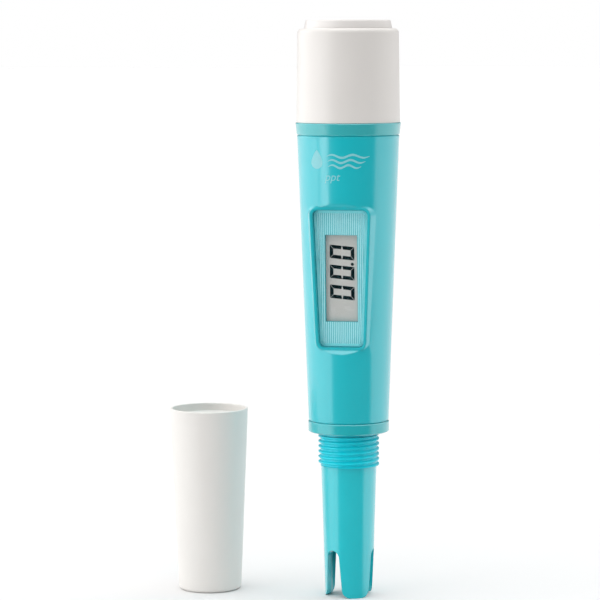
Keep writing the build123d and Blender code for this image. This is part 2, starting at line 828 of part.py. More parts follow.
# ---------------------------------------------------------------- wires
lead_end_y = board_length / 2 - 5
with BuildPart() as battery_leads:
    for side in (-1, 1):
        lead_x = side * lead_spacing / 2
        board_top = depth(board_front_depth - wire_radius - wire_gap)
        with BuildLine() as lead_route:
            FilletPolyline(
                (lead_x, lead_y, carrier_top_z - 0.05),
                (lead_x, lead_y, deck_bottom_z - 1.5),
                board_top.from_local_coords((lead_x, board_length / 2 + 0.5, 0)),
                board_top.from_local_coords((lead_x, lead_end_y, 0)),
                radius=3.0,
            )
        with BuildSketch(Plane(origin=lead_route.line @ 0, z_dir=lead_route.line % 0)):
            Circle(wire_radius)
        sweep(path=lead_route.line)
write(battery_leads, "battery_leads")

potting_bottom = slot_height + potting_rise
potting_top_z = body_bottom_z + joint_depth - potting_top_drop
pin_top_z = potting_top_z + pin_top_rise
pin_places = [(-pin_offset, pin_setback), (pin_offset, pin_setback)]
with BuildPart() as probe_leads:
    board_back = depth(board_back_depth + wire_radius + wire_gap)
    for wire_x, wire_y in pin_places + [(0, sensor_setback)]:
        with BuildLine() as wire_route:
            FilletPolyline(
                (wire_x, wire_y, pin_top_z + wire_gap),
                (wire_x, wire_y, pin_top_z + 3),
                board_back.from_local_coords((1.6 * wire_x, 5 - board_length / 2, 0)),
                board_back.from_local_coords((1.6 * wire_x, 9 - board_length / 2, 0)),
                radius=1.2,
            )
        with BuildSketch(Plane(origin=wire_route.line @ 0, z_dir=wire_route.line % 0)):
            Circle(wire_radius)
        sweep(path=wire_route.line)
write(probe_leads, "probe_leads")

# ---------------------------------------------------------------- probe housing
housing_top_z = body_bottom_z + joint_depth
housing_spigot_radius = lower_socket_radius - spigot_clearance
probe_seal_radius = 0.5
probe_seal_z = body_bottom_z + joint_depth / 2
probe_groove_radius = housing_spigot_radius - 2 * probe_seal_radius - seal_floor_gap
slot_plane_azimuths = [-120, 0, 120]

with BuildPart() as probe_housing:
    with BuildSketch(Plane.XZ):
        with BuildLine():
            Polyline(
                (tube_radius(0) - tube_wall, 0),
                (tip_radius, 0),
                (tube_top_radius, thread_base),
                (thread_root_radius, thread_base),
                (thread_root_radius, collar_bottom_z),
                (lower_collar_radius - edge_break, collar_bottom_z),
                (lower_collar_radius, collar_bottom_z + edge_break),
                (lower_collar_radius, body_bottom_z - edge_break),
                (lower_collar_radius - edge_break, body_bottom_z),
                (housing_spigot_radius, body_bottom_z),
                (housing_spigot_radius, probe_seal_z - probe_seal_radius - seal_floor_gap),
                (probe_groove_radius, probe_seal_z - probe_seal_radius - seal_floor_gap),
                (probe_groove_radius, probe_seal_z + probe_seal_radius + seal_floor_gap),
                (housing_spigot_radius, probe_seal_z + probe_seal_radius + seal_floor_gap),
                (housing_spigot_radius, housing_top_z),
                (bore_radius, housing_top_z),
                (bore_radius, thread_base),
                close=True,
            )
        make_face()
    revolve(axis=Axis.Z)
    # open-ended slots between the guard's teeth
    slot_shoulder_z = slot_height - slot_top_half_width
    for azimuth in slot_plane_azimuths:
        outward = (cos(radians(azimuth)), sin(radians(azimuth)), 0)
        across = (-sin(radians(azimuth)), cos(radians(azimuth)), 0)
        with BuildSketch(Plane(origin=(0, 0, 0), x_dir=across, z_dir=outward)):
            with BuildLine():
                mouth = slot_bottom_half_width + tip_round
                corner = tip_round * (1 - sqrt(0.5))
                ThreePointArc(
                    (mouth, 0),
                    (slot_bottom_half_width + corner, corner),
                    (slot_bottom_half_width, tip_round),
                )
                Line((slot_bottom_half_width, tip_round), (slot_top_half_width, slot_shoulder_z))
                ThreePointArc(
                    (slot_top_half_width, slot_shoulder_z),
                    (0, slot_height),
                    (-slot_top_half_width, slot_shoulder_z),
                )
                Line((-slot_top_half_width, slot_shoulder_z), (-slot_bottom_half_width, tip_round))
                ThreePointArc(
                    (-slot_bottom_half_width, tip_round),
                    (-slot_bottom_half_width - corner, corner),
                    (-mouth, 0),
                )
                Polyline((-mouth, 0), (-mouth, -1), (mouth, -1), (mouth, 0))
            make_face()
        extrude(amount=2 * tip_radius, mode=Mode.SUBTRACT)
    add(
        thread_ridge(
            thread_root_radius,
            thread_crest_radius,
            thread_foot_width,
            thread_crest_width,
            thread_base,
            thread_run,
        )
    )
write(probe_housing, "probe_housing")

with BuildPart() as probe_seal:
    with Locations((0, 0, probe_seal_z)):
        Torus(lower_socket_radius - seal_clearance - probe_seal_radius, probe_seal_radius)
write(probe_seal, "probe_seal")

# ---------------------------------------------------------------- electrodes
with BuildPart() as electrode_potting:
    with BuildSketch(Plane.XZ):
        with BuildLine():
            Polyline(
                (0, potting_bottom),
                (tube_radius(potting_bottom) - tube_wall - potting_clearance, potting_bottom),
                (tube_radius(thread_base) - tube_wall - potting_clearance, thread_base),
                (bore_radius - potting_clearance, thread_base + 1),
                (bore_radius - potting_clearance, potting_top_z),
                (0, potting_top_z),
                close=True,
            )
        make_face()
    revolve(axis=Axis.Z)
    with BuildSketch(Plane.XY.offset(potting_bottom)):
        with Locations(*pin_places):
            Circle(pin_radius + pin_hole_clearance)
        with Locations((0, sensor_setback)):
            Circle(sensor_radius + pin_hole_clearance)
    extrude(amount=potting_top_z - potting_bottom, mode=Mode.SUBTRACT)
write(electrode_potting, "electrode_potting")

with BuildPart() as electrode_pins:
    with BuildSketch(Plane.XY.offset(pin_end)):
        with Locations(*pin_places):
            Circle(pin_radius)
    extrude(amount=pin_top_z - pin_end)
    fillet(electrode_pins.edges().group_by(Axis.Z)[0], radius=0.7 * pin_radius)
write(electrode_pins, "electrode_pins")

with BuildPart() as temperature_sensor:
    with BuildSketch(Plane.XY.offset(sensor_end)):
        with Locations((0, sensor_setback)):
            Circle(sensor_radius)
    extrude(amount=pin_top_z - sensor_end)
    fillet(temperature_sensor.edges().group_by(Axis.Z)[0], radius=0.9 * sensor_radius)
write(temperature_sensor, "temperature_sensor")

# ---------------------------------------------------------------- protective cap
cap_thread_top_z = cap_height - cap_lip_depth
cap_thread_bottom_z = cap_height - (probe_length - thread_base)
cap_minor_radius = thread_root_radius + cap_thread_clearance
cap_major_radius = thread_crest_radius + cap_thread_clearance
mouth_radius = cap_rim_radius - cap_rim_wall
lead_in = 0.8

with BuildPart() as cap_thread_cutter:
    add(
        thread_ridge(
            cap_minor_radius,
            cap_major_radius,
            thread_foot_width + 2 * cap_thread_clearance,
            thread_crest_width + cap_thread_clearance,
            cap_thread_bottom_z - 1,
            cap_thread_top_z - cap_thread_bottom_z + 2,
        )
    )

with BuildPart() as protective_cap:
    with BuildSketch(Plane.XZ):
        with BuildLine():
            Polyline(
                (0, 0),
                (cap_base_radius, 0),
                (cap_rim_radius, cap_height),
                (mouth_radius, cap_height),
                (mouth_radius - 0.1, cap_thread_top_z + lead_in),
                (cap_minor_radius + lead_in / 2, cap_thread_top_z),
                (cap_minor_radius, cap_thread_top_z - lead_in),
                (cap_minor_radius, cap_thread_bottom_z),
                (cap_radius(cap_thread_bottom_z) - cap_wall, cap_thread_bottom_z - 2),
                (cap_base_radius - cap_wall, cap_floor + 1),
                (cap_base_radius - cap_wall - 1, cap_floor),
                (0, cap_floor),
                close=True,
            )
        make_face()
    revolve(axis=Axis.Z)
    cap_circles = protective_cap.edges().filter_by(GeomType.CIRCLE)
    base_edge = cap_circles.filter_by_position(Axis.Z, -0.01, 0.01)
    fillet(base_edge, radius=cap_base_round)
    rim_edges = protective_cap.edges().filter_by(GeomType.CIRCLE).group_by(Axis.Z)[-1]
    fillet(rim_edges, radius=edge_break)
    add(cap_thread_cutter.part, mode=Mode.SUBTRACT)
protective_cap.part.position = (cap_x, cap_y, 0)
write(protective_cap, "protective_cap")
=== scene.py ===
import json
from math import atan, cos, pi, radians, sin, tan

import bmesh
import bpy
from bpy.props import FloatProperty, FloatVectorProperty, PointerProperty, StringProperty
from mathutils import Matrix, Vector

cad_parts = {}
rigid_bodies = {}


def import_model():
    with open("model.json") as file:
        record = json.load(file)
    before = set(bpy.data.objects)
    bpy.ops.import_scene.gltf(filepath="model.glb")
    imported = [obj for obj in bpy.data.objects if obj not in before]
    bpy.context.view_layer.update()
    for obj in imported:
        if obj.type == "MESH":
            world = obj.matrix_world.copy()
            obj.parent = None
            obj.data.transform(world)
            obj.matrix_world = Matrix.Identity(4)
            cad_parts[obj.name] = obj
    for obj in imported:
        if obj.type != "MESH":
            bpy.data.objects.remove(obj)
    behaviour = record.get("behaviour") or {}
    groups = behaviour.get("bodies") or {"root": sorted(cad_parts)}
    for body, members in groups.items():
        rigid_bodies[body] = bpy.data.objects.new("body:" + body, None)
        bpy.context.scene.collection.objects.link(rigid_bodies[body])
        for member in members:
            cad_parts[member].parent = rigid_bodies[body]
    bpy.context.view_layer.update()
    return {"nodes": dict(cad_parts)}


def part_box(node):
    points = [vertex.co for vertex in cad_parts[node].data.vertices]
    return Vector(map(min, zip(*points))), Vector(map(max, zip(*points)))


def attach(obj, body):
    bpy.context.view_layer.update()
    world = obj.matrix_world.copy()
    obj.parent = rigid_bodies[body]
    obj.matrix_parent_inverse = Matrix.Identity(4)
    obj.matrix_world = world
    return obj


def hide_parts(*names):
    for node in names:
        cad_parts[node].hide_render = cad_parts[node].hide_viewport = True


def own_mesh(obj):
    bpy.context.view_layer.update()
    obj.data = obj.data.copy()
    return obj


bl_info = {
    "name": "Pen Water Tester",
    "version": (1, 0, 0),
    "blender": (4, 5, 0),
    "location": "3D View > Sidebar > Water Tester",
    "description": "Finishes, display figures, printed marks and studio for a pen-type water tester",
    "category": "Object",
}

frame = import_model()

MM = 0.001

# Handling smears, which shift the gloss of every moulded or coated face.
SMEAR_SIZE = 14 * MM

# Height bands of the probe housing: the thread starts above its tube, the collar above the thread.
TUBE_TOP, THREAD_TOP, BAND_BLUR = 44.6 * MM, 55.9 * MM, 0.4 * MM

# A wave texture of scale 1 repeats after this length in metres.
WAVE_PERIOD = 2 * pi / 20

# Cuts and merges in small pieces work to this distance.
FINE = 0.001 * MM

FLOOR_SIDE = 24.0
FLOOR_MIDDLE = (0, 11.3, 0)

# Softboxes: name, heading from the front, height and spread in degrees, and their strength's setting.
# The three keys stand side by side and make the long soft highlight down the left.
SOFTBOXES = (
    ("key_softbox_1", -46, 8, 34, "key_strength"),
    ("key_softbox_2", -78, 8, 34, "key_strength"),
    ("key_softbox_3", -110, 8, 34, "key_strength"),
    ("fill_softbox", 118, 8, 90, "fill_strength"),
    ("top_softbox", 0, 80, 70, "top_strength"),
)


# ---------------------------------------------------------------- small helpers
def linear(hex_colour):
    """Linear RGBA of an sRGB hex colour."""
    channels = [int(hex_colour[i:i + 2], 16) / 255 for i in (1, 3, 5)]
    straight = [c / 12.92 if c <= 0.04045 else ((c + 0.055) / 1.055) ** 2.4 for c in channels]
    return (*straight, 1.0)


def node(tree, kind, settings=None, links=None):
    """Add a node. Lower-case settings are the node's own, the rest are its sockets by name or number."""
    made = tree.nodes.new(kind)
    for key, value in (settings or {}).items():
        if isinstance(key, str) and key[0].islower():
            setattr(made, key, value)
        else:
            made.inputs[key].default_value = value
    for key, source in (links or {}).items():
        tree.links.new(source, made.inputs[key])
    return made


def start(name):
    """An empty node material and its object coordinates."""
    material = bpy.data.materials.new(name)
    material.use_nodes = True
    material.node_tree.nodes.clear()
    place = node(material.node_tree, "ShaderNodeTexCoord").outputs["Object"]
    return material, material.node_tree, place


def finish(material, tree, colour, normal, rough, settings, links=None):
    """Close a material with its principled shader."""
    surface = {"Base Color": colour, "Normal": normal, "Roughness": rough, **(links or {})}
    shader = node(tree, "ShaderNodeBsdfPrincipled", settings, surface)
    node(tree, "ShaderNodeOutputMaterial", None, {"Surface": shader.outputs["BSDF"]})
    return material


def drift(tree, place, first, second, size, detail=3.0):
    """A colour that wanders between two near shades over patches of the given size in millimetres."""
    cloud = node(tree, "ShaderNodeTexNoise", {"Scale": 1 / (size * MM), "Detail": detail},
                 {"Vector": place})
    mix = node(tree, "ShaderNodeMix", {"data_type": "RGBA", 6: linear(first), 7: linear(second)},
               {0: cloud.outputs["Fac"]})
    return mix.outputs[2]


def soft_edges(tree, radius):
    """Edges shaded as if rounded to the given radius in millimetres."""
    return node(tree, "ShaderNodeBevel", {"samples": 6, "Radius": radius * MM}).outputs["Normal"]


def grain(tree, place, size, height, low, high, face=None):
    """Relief of the given grain size and height in millimetres, and the roughness that goes with it."""
    pits = node(tree, "ShaderNodeTexNoise", {"Scale": 1 / (size * MM), "Detail": 2.0}, {"Vector": place})
    links = {"Height": pits.outputs["Fac"]}
    if face is not None:
        links["Normal"] = face
    bump = node(tree, "ShaderNodeBump", {"Strength": 1.0, "Distance": height * MM}, links)
    smears = node(tree, "ShaderNodeTexNoise", {"Scale": 1 / SMEAR_SIZE, "Detail": 4.0},
                  {"Vector": place})
    rough = node(tree, "ShaderNodeMapRange",
                 {"From Min": 0.3, "From Max": 0.7, "To Min": low, "To Max": high},
                 {"Value": smears.outputs["Fac"]})
    return bump.outputs["Normal"], rough.outputs["Result"]


def streaks(tree, place, stretch, size, height, low, high):
    """Drawn or brushed lines: noise stretched along one axis, with its relief and roughness."""
    along = node(tree, "ShaderNodeMapping", {"Scale": stretch}, {"Vector": place})
    lines = node(tree, "ShaderNodeTexNoise", {"Scale": 1 / (size * MM), "Detail": 3.0},
                 {"Vector": along.outputs["Vector"]})
    bump = node(tree, "ShaderNodeBump", {"Strength": 1.0, "Distance": height * MM},
                {"Height": lines.outputs["Fac"]})
    rough = node(tree, "ShaderNodeMapRange", {"To Min": low, "To Max": high},
                 {"Value": lines.outputs["Fac"]})
    return bump.outputs["Normal"], rough.outputs["Result"]


# ---------------------------------------------------------------- materials
def moulded_teal_abs():
    """ABS moulded in a fine-textured tool: even teal with faint flow clouds and a soft satin gloss."""
    material, tree, place = start("moulded_teal_abs")
    colour = drift(tree, place, "#00bfcb", "#00c6d3", 22)
    normal, rough = grain(tree, place, 0.35, 0.004, 0.34, 0.42, soft_edges(tree, 1.3))
    return finish(material, tree, colour, normal, rough,
                  {"IOR": 1.53, "Specular IOR Level": 0.3,
                   "Coat Weight": 1.0, "Coat IOR": 1.85, "Coat Roughness": 0.19})


def collar_teal_abs():
    """The neck ring's ABS is a second shot of the same teal, a shade duller, from a smoother tool."""
    material, tree, place = start("collar_teal_abs")
    colour = drift(tree, place, "#27b4ba", "#2dbbc1", 16)
    normal, rough = grain(tree, place, 0.3, 0.003, 0.33, 0.4)
    return finish(material, tree, colour, normal, rough,
                  {"IOR": 1.53, "Coat Weight": 1.0, "Coat IOR": 1.75, "Coat Roughness": 0.24})


def probe_teal_abs():
    """ABS wetted in use: glossy on the tube, less coated on the thread, which is painted a brighter cyan
    as a painted highlight of its lit crests, handled on the collar.
    """
    material, tree, place = start("probe_teal_abs")
    wetted = drift(tree, place, "#01c7d3", "#06cfdb", 9)
    handled = drift(tree, place, "#02b2bb", "#05b9c1", 9)
    height = node(tree, "ShaderNodeSeparateXYZ", None, {"Vector": place}).outputs["Z"]
    above_tube, above_thread = (
        node(tree, "ShaderNodeMapRange", {"From Min": band, "From Max": band + BAND_BLUR},
             {"Value": height}).outputs["Result"] for band in (TUBE_TOP, THREAD_TOP))
    on_thread = node(tree, "ShaderNodeMath", {"operation": "SUBTRACT"}, {0: above_tube, 1: above_thread})
    # Above the tube the thread is painted a brighter cyan: a painted highlight standing for its lit
    # crests.
    tube_and_lit_thread = node(tree, "ShaderNodeMix", {"data_type": "RGBA", 7: linear("#00d8e8")},
                        {0: above_tube, 6: wetted}).outputs[2]
    colour = node(tree, "ShaderNodeMix", {"data_type": "RGBA"},
                  {0: above_thread, 6: tube_and_lit_thread, 7: handled}).outputs[2]
    coat = node(tree, "ShaderNodeMapRange", {"To Min": 1.0, "To Max": 0.3},
                {"Value": on_thread.outputs["Value"]})
    spots = node(tree, "ShaderNodeTexVoronoi",
                 {"feature": "DISTANCE_TO_EDGE", "Scale": 1 / (3.2 * MM)}, {"Vector": place})
    normal, rough = grain(tree, place, 0.3, 0.003, 0.28, 0.36, soft_edges(tree, 0.3))
    ring = node(tree, "ShaderNodeMapRange", {"From Max": 0.06, "To Min": 0.05, "To Max": 0.0},
                {"Value": spots.outputs["Distance"]})
    worn = node(tree, "ShaderNodeMath", {"operation": "ADD"}, {0: rough, 1: ring.outputs["Result"]})
    return finish(material, tree, colour, normal, worn.outputs["Value"],
                  {"IOR": 1.53, "Specular IOR Level": 0.35, "Coat IOR": 1.8, "Coat Roughness": 0.21},
                  {"Coat Weight": coat.outputs["Result"]})


def cover_white_abs():
    """White ABS with a trace of warm yellowing, spark-textured so that its gloss is broad and soft."""
    material, tree, place = start("cover_white_abs")
    colour = drift(tree, place, "#e5e1dd", "#eae6e2", 20)
    normal, rough = grain(tree, place, 0.4, 0.005, 0.4, 0.48)
    return finish(material, tree, colour, normal, rough,
                  {"IOR": 1.53, "Coat Weight": 0.4, "Coat IOR": 1.65, "Coat Roughness": 0.38})


def button_white_abs():
    """The button is handled most: polished white ABS with faint finger smears on its crown."""
    material, tree, place = start("button_white_abs")
    colour = drift(tree, place, "#e9e5e2", "#eeeae7", 12)
    normal, rough = grain(tree, place, 0.4, 0.003, 0.3, 0.44)
    return finish(material, tree, colour, normal, rough,
                  {"IOR": 1.53, "Coat Weight": 0.4, "Coat IOR": 1.65, "Coat Roughness": 0.38})


def cap_white_polypropylene():
    """Moulded polypropylene is waxy: broad and soft in its gloss, with faint handling scuffs."""
    material, tree, place = start("cap_white_polypropylene")
    colour = drift(tree, place, "#e6e3df", "#edeae6", 17)
    normal, rough = grain(tree, place, 0.45, 0.006, 0.42, 0.52)
    return finish(material, tree, colour, normal, rough,
                  {"IOR": 1.49, "Coat Weight": 0.3, "Coat IOR": 1.6, "Coat Roughness": 0.3})


def clear_acrylic():
    """Moulded clear acrylic: a thin clear lens that shows mostly by the light on its polished face."""
    material, tree, place = start("clear_acrylic")
    colour = drift(tree, place, "#4fa3ae", "#5fb0ba", 12)
    normal, rough = grain(tree, place, 6, 0.004, 0.02, 0.06)
    return finish(material, tree, colour, normal, rough,
                  {"IOR": 1.49, "Alpha": 0.025,
                   "Coat Weight": 1.0, "Coat IOR": 1.9, "Coat Roughness": 0.03})


def frosted_acrylic():
    """The window's seat is moulded in fine lines, which turn it pale and light-catching."""
    material, tree, place = start("frosted_acrylic")
    colour = drift(tree, place, "#aaf0f7", "#bcf6fb", 10)
    normal, rough = grain(tree, place, 0.5, 0.004, 0.22, 0.34)
    return finish(material, tree, colour, normal, rough,
                  {"IOR": 1.49, "Coat Weight": 0.5, "Coat Roughness": 0.1})


def foam_tape_painted_highlight():
    """Closed-cell double-sided tape, matt and pitted by its cells, painted a pale light cyan: a painted
    highlight standing for the lit rim round the window's edge, though the tape sits in shade.
    """
    material, tree, place = start("foam_tape_painted_highlight")
    colour = drift(tree, place, "#7fe6ee", "#9cf0f5", 1.5)
    normal, rough = grain(tree, place, 0.2, 0.03, 0.7, 0.85)
    return finish(material, tree, colour, normal, rough, {"IOR": 1.45})


def polarised_lcd_glass():
    """A reflective liquid-crystal cell: warm grey behind its polariser, a little uneven."""
    material, tree, place = start("polarised_lcd_glass")
    colour = drift(tree, place, "#d0ccc7", "#d7d3cf", 9)
    normal, rough = grain(tree, place, 5, 0.002, 0.22, 0.3)
    return finish(material, tree, colour, normal, rough,
                  {"IOR": 1.5, "Coat Weight": 0.6, "Coat Roughness": 0.05})


def lcd_reflector_foil():
    """The foil behind the cell is etched aluminium on film: pale, metallic and very finely grained."""
    material, tree, place = start("lcd_reflector_foil")
    colour = drift(tree, place, "#b9bcb9", "#c8cac6", 4)
    normal, rough = grain(tree, place, 0.15, 0.006, 0.45, 0.6)
    return finish(material, tree, colour, normal, rough, {"Metallic": 1.0})


def black_abs():
    """Black ABS straight from a textured tool: charcoal rather than pure black, with a low sheen."""
    material, tree, place = start("black_abs")
    colour = drift(tree, place, "#17181a", "#202123", 8)
    normal, rough = grain(tree, place, 0.3, 0.01, 0.45, 0.6)
    return finish(material, tree, colour, normal, rough, {"IOR": 1.53})


def zebra_silicone():
    """Carbon-filled silicone layered with clear silicone, its stripes drawn coarse enough to show."""
    material, tree, place = start("zebra_silicone")
    stripe = 0.952 * MM
    layers = node(tree, "ShaderNodeTexWave", {"bands_direction": "X", "Scale": WAVE_PERIOD / stripe},
                  {"Vector": place})
    mix = node(tree, "ShaderNodeMix", {"data_type": "RGBA", 6: linear("#1b1c1d"), 7: linear("#b9a79a")},
               {0: layers.outputs["Fac"]})
    normal, rough = grain(tree, place, 0.3, 0.006, 0.55, 0.7)
    return finish(material, tree, mix.outputs[2], normal, rough, {"IOR": 1.43})


def solder_masked_board():
    """Glass-epoxy board under green mask: copper tracks show as paler, raised, right-angled runs."""
    material, tree, place = start("solder_masked_board")
    turned = node(tree, "ShaderNodeMapping", {"Rotation": (radians(90), 0, 0)}, {"Vector": place})
    tracks = node(tree, "ShaderNodeTexBrick",
                  {"Scale": 1 / (4.2 * MM), "Mortar Size": 0.05, "Mortar Smooth": 0.2, "offset": 0.37,
                   "Color1": (0, 0, 0, 1), "Color2": (0, 0, 0, 1), "Mortar": (1, 1, 1, 1)},
                  {"Vector": turned.outputs["Vector"]})
    masked = drift(tree, place, "#0d5a35", "#12683f", 6)
    mix = node(tree, "ShaderNodeMix", {"data_type": "RGBA", 7: linear("#3c9a5f")},
               {0: tracks.outputs["Color"], 6: masked})
    raised = node(tree, "ShaderNodeBump", {"Distance": 0.04 * MM}, {"Height": tracks.outputs["Color"]})
    rough = grain(tree, place, 0.4, 0.002, 0.25, 0.4)[1]
    return finish(material, tree, mix.outputs[2], raised.outputs["Normal"], rough,
                  {"IOR": 1.52, "Coat Weight": 0.4, "Coat Roughness": 0.15})


def transfer_moulded_epoxy():
    """The chip's package is black epoxy full of silica: matt, faintly brown and finely speckled."""
    material, tree, place = start("transfer_moulded_epoxy")
    colour = drift(tree, place, "#131212", "#26231f", 0.25, 5.0)
    normal, rough = grain(tree, place, 0.12, 0.008, 0.6, 0.75)
    return finish(material, tree, colour, normal, rough, {"IOR": 1.55})


def chip_resistor_ceramic():
    """Small ceramic parts with tinned ends: grey-tan bodies that brighten in patches like solder."""
    material, tree, place = start("chip_resistor_ceramic")
    colour = drift(tree, place, "#7d746a", "#a7a39c", 1.2)
    normal, rough = grain(tree, place, 0.2, 0.01, 0.35, 0.55)
    return finish(material, tree, colour, normal, rough, {"Metallic": 0.35})


def zinc_plated_steel():
    """Bright zinc over steel, tumbled in a barrel: cool silver with a faint blue cast and fine nicks."""
    material, tree, place = start("zinc_plated_steel")
    colour = drift(tree, place, "#b4b9be", "#cdd2d4", 1.2)
    normal, rough = grain(tree, place, 0.25, 0.012, 0.2, 0.38)
    return finish(material, tree, colour, normal, rough, {"Metallic": 1.0})


def drawn_spring_steel():
    """Spring wire keeps the lines of the drawing die and a straw tint from its low bake."""
    material, tree, place = start("drawn_spring_steel")
    colour = drift(tree, place, "#8f8c86", "#a8a296", 2)
    normal, rough = streaks(tree, place, (1, 1, 0.2), 0.2, 0.006, 0.22, 0.4)
    return finish(material, tree, colour, normal, rough, {"Metallic": 1.0})


def switch_black_nylon():
    """Glass-filled black nylon: dull, with pale fibre ends just under the skin."""
    material, tree, place = start("switch_black_nylon")
    fibres = drift(tree, place, "#141516", "#2c2d2f", 0.3, 6.0)
    normal, rough = grain(tree, place, 0.2, 0.012, 0.5, 0.7)
    return finish(material, tree, fibres, normal, rough, {"IOR": 1.53})


def switch_red_acetal():
    """Acetal is slippery and dense: an even red with a waxy gloss, scuffed on the end that is pushed."""
    material, tree, place = start("switch_red_acetal")
    colour = drift(tree, place, "#a51d18", "#b7271f", 1.6)
    normal, rough = grain(tree, place, 0.3, 0.004, 0.25, 0.42)
    return finish(material, tree, colour, normal, rough,
                  {"IOR": 1.48, "Subsurface Weight": 0.1, "Subsurface Scale": 0.0005})


def nickelled_cell_can():
    """A button cell's can is deep-drawn, nickelled steel with fine circular drawing lines."""
    material, tree, place = start("nickelled_cell_can")
    colour = drift(tree, place, "#c2c0ba", "#d6d4ce", 3)
    normal, rough = streaks(tree, place, (0.4, 0.4, 4), 0.5, 0.004, 0.16, 0.32)
    return finish(material, tree, colour, normal, rough, {"Metallic": 1.0})


def nickel_plated_brass():
    """Stamped contact strip: warm nickel with rolling lines along it and rubbed, brassier spots."""
    material, tree, place = start("nickel_plated_brass")
    colour = drift(tree, place, "#c5b98f", "#cfcabd", 2.2)
    normal, rough = streaks(tree, place, (0.3, 3, 3), 0.4, 0.006, 0.2, 0.38)
    return finish(material, tree, colour, normal, rough, {"Metallic": 1.0})


def red_wire_pvc():
    """Extruded PVC insulation: red, soft gloss, with the faint ripple of the extruder."""
    material, tree, place = start("red_wire_pvc")
    colour = drift(tree, place, "#a8231f", "#b92d27", 3)
    normal, rough = streaks(tree, place, (1, 1, 0.15), 0.4, 0.006, 0.35, 0.5)
    return finish(material, tree, colour, normal, rough, {"IOR": 1.52})


def blue_wire_pvc():
    """The probe's leads are the same extruded PVC in blue."""
    material, tree, place = start("blue_wire_pvc")
    colour = drift(tree, place, "#1c4f96", "#2560aa", 3)
    normal, rough = streaks(tree, place, (1, 1, 0.15), 0.4, 0.006, 0.35, 0.5)
    return finish(material, tree, colour, normal, rough, {"IOR": 1.52})


def greased_nitrile():
    """Nitrile rings are black and matt, with patches made glossy by silicone grease."""
    material, tree, place = start("greased_nitrile")
    colour = drift(tree, place, "#111213", "#1b1c1d", 4)
    normal, rough = grain(tree, place, 0.5, 0.01, 0.22, 0.6)
    return finish(material, tree, colour, normal, rough, {"IOR": 1.52})


def poured_epoxy():
    """Potting resin levels itself as it sets: dark, glossy, with a few trapped bubbles."""
    material, tree, place = start("poured_epoxy")
    colour = drift(tree, place, "#12201f", "#1a2c2b", 5)
    bubbles = node(tree, "ShaderNodeTexVoronoi", {"Scale": 1 / (2.4 * MM)}, {"Vector": place})
    dimple = node(tree, "ShaderNodeMapRange", {"From Max": 0.2, "To Min": 0.0, "To Max": 1.0},
                  {"Value": bubbles.outputs["Distance"]})
    bump = node(tree, "ShaderNodeBump", {"Distance": 0.05 * MM}, {"Height": dimple.outputs["Result"]})
    rough = grain(tree, place, 0.5, 0.002, 0.12, 0.25)[1]
    return finish(material, tree, colour, bump.outputs["Normal"], rough, {"IOR": 1.55})


def coated_titanium():
    """Titanium electrodes are turned, then coated with a mixed oxide that leaves them dull grey."""
    material, tree, place = start("coated_titanium")
    colour = drift(tree, place, "#7e8a8c", "#a3adae", 2)
    normal, rough = streaks(tree, place, (0.6, 0.6, 5), 0.6, 0.008, 0.28, 0.45)
    return finish(material, tree, colour, normal, rough, {"Metallic": 1.0})


def polished_stainless_steel():
    """The sensor's sheath is drawn stainless tube, polished, with fine lines round it."""
    material, tree, place = start("polished_stainless_steel")
    colour = drift(tree, place, "#a8acae", "#bdc0c1", 3)
    normal, rough = streaks(tree, place, (0.6, 0.6, 5), 0.5, 0.004, 0.15, 0.3)
    return finish(material, tree, colour, normal, rough, {"Metallic": 1.0})


def lcd_dark_segment():
    """A switched-on segment: the polariser's near-black, very slightly blue, a little uneven."""
    material, tree, place = start("lcd_dark_segment")
    colour = drift(tree, place, "#050506", "#0b0b0d", 1.5)
    normal, rough = grain(tree, place, 2, 0.001, 0.2, 0.3)
    return finish(material, tree, colour, normal, rough, {"IOR": 1.5, "Specular IOR Level": 0.1})


def pad_printed_ink():
    """Pad-printed ink: a thin pale cyan film, a little worn in specks where the teal shows through."""
    material, tree, place = start("pad_printed_ink")
    colour = drift(tree, place, "#7ecbd3", "#92d6dd", 1.2, 6.0)
    normal, rough = grain(tree, place, 0.25, 0.006, 0.4, 0.55)
    return finish(material, tree, colour, normal, rough, {"IOR": 1.5})


def matt_studio_floor(colour):
    """A matt laminate sweep, evenly lit, with a very slight cloudiness."""
    material, tree, place = start("matt_studio_floor")
    base = drift(tree, place, colour, "#eaeaea", 180)
    normal, rough = grain(tree, place, 1.5, 0.01, 0.7, 0.8)
    return finish(material, tree, base, normal, rough, {"IOR": 1.3})


# ---------------------------------------------------------------- modelling helpers
def clear_selection():
    """Leave edit mode and deselect everything."""
    if bpy.context.mode != "OBJECT":
        bpy.ops.object.mode_set(mode="OBJECT")
    bpy.ops.object.select_all(action="DESELECT")


def activate(*objects):
    """Select only these objects, the first one active."""
    clear_selection()
    for piece in objects:
        piece.select_set(True)
    bpy.context.view_layer.objects.active = objects[0]


def select_points(piece, test):
    """In edit mode, select only the vertices whose place passes the test."""
    shape = bmesh.from_edit_mesh(piece.data)
    for face in shape.faces:
        face.select = False
    for edge in shape.edges:
        edge.select = False
    for point in shape.verts:
        point.select = bool(test(point.co))
    shape.select_flush_mode()
    bmesh.update_edit_mesh(piece.data)


def select_faces(piece, test):
    """In edit mode, select only the faces whose middle passes the test."""
    shape = bmesh.from_edit_mesh(piece.data)
    bpy.ops.mesh.select_mode(type="FACE")
    for face in shape.faces:
        face.select_set(bool(test(face.calc_center_median())))
    bmesh.update_edit_mesh(piece.data)


def settle(piece):
    """Put the piece's place into its mesh."""
    activate(piece)
    bpy.ops.object.transform_apply(location=True, rotation=True, scale=True)


def copy_of(piece, name):
    """A copy with its own mesh."""
    activate(piece)
    bpy.ops.object.duplicate(linked=False)
    made = bpy.context.active_object
    made.name = name
    return made


def join(name, pieces):
    """One mesh from several."""
    activate(*pieces)
    bpy.ops.object.join()
    made = bpy.context.active_object
    made.name = name
    made.data.name = name
    return made


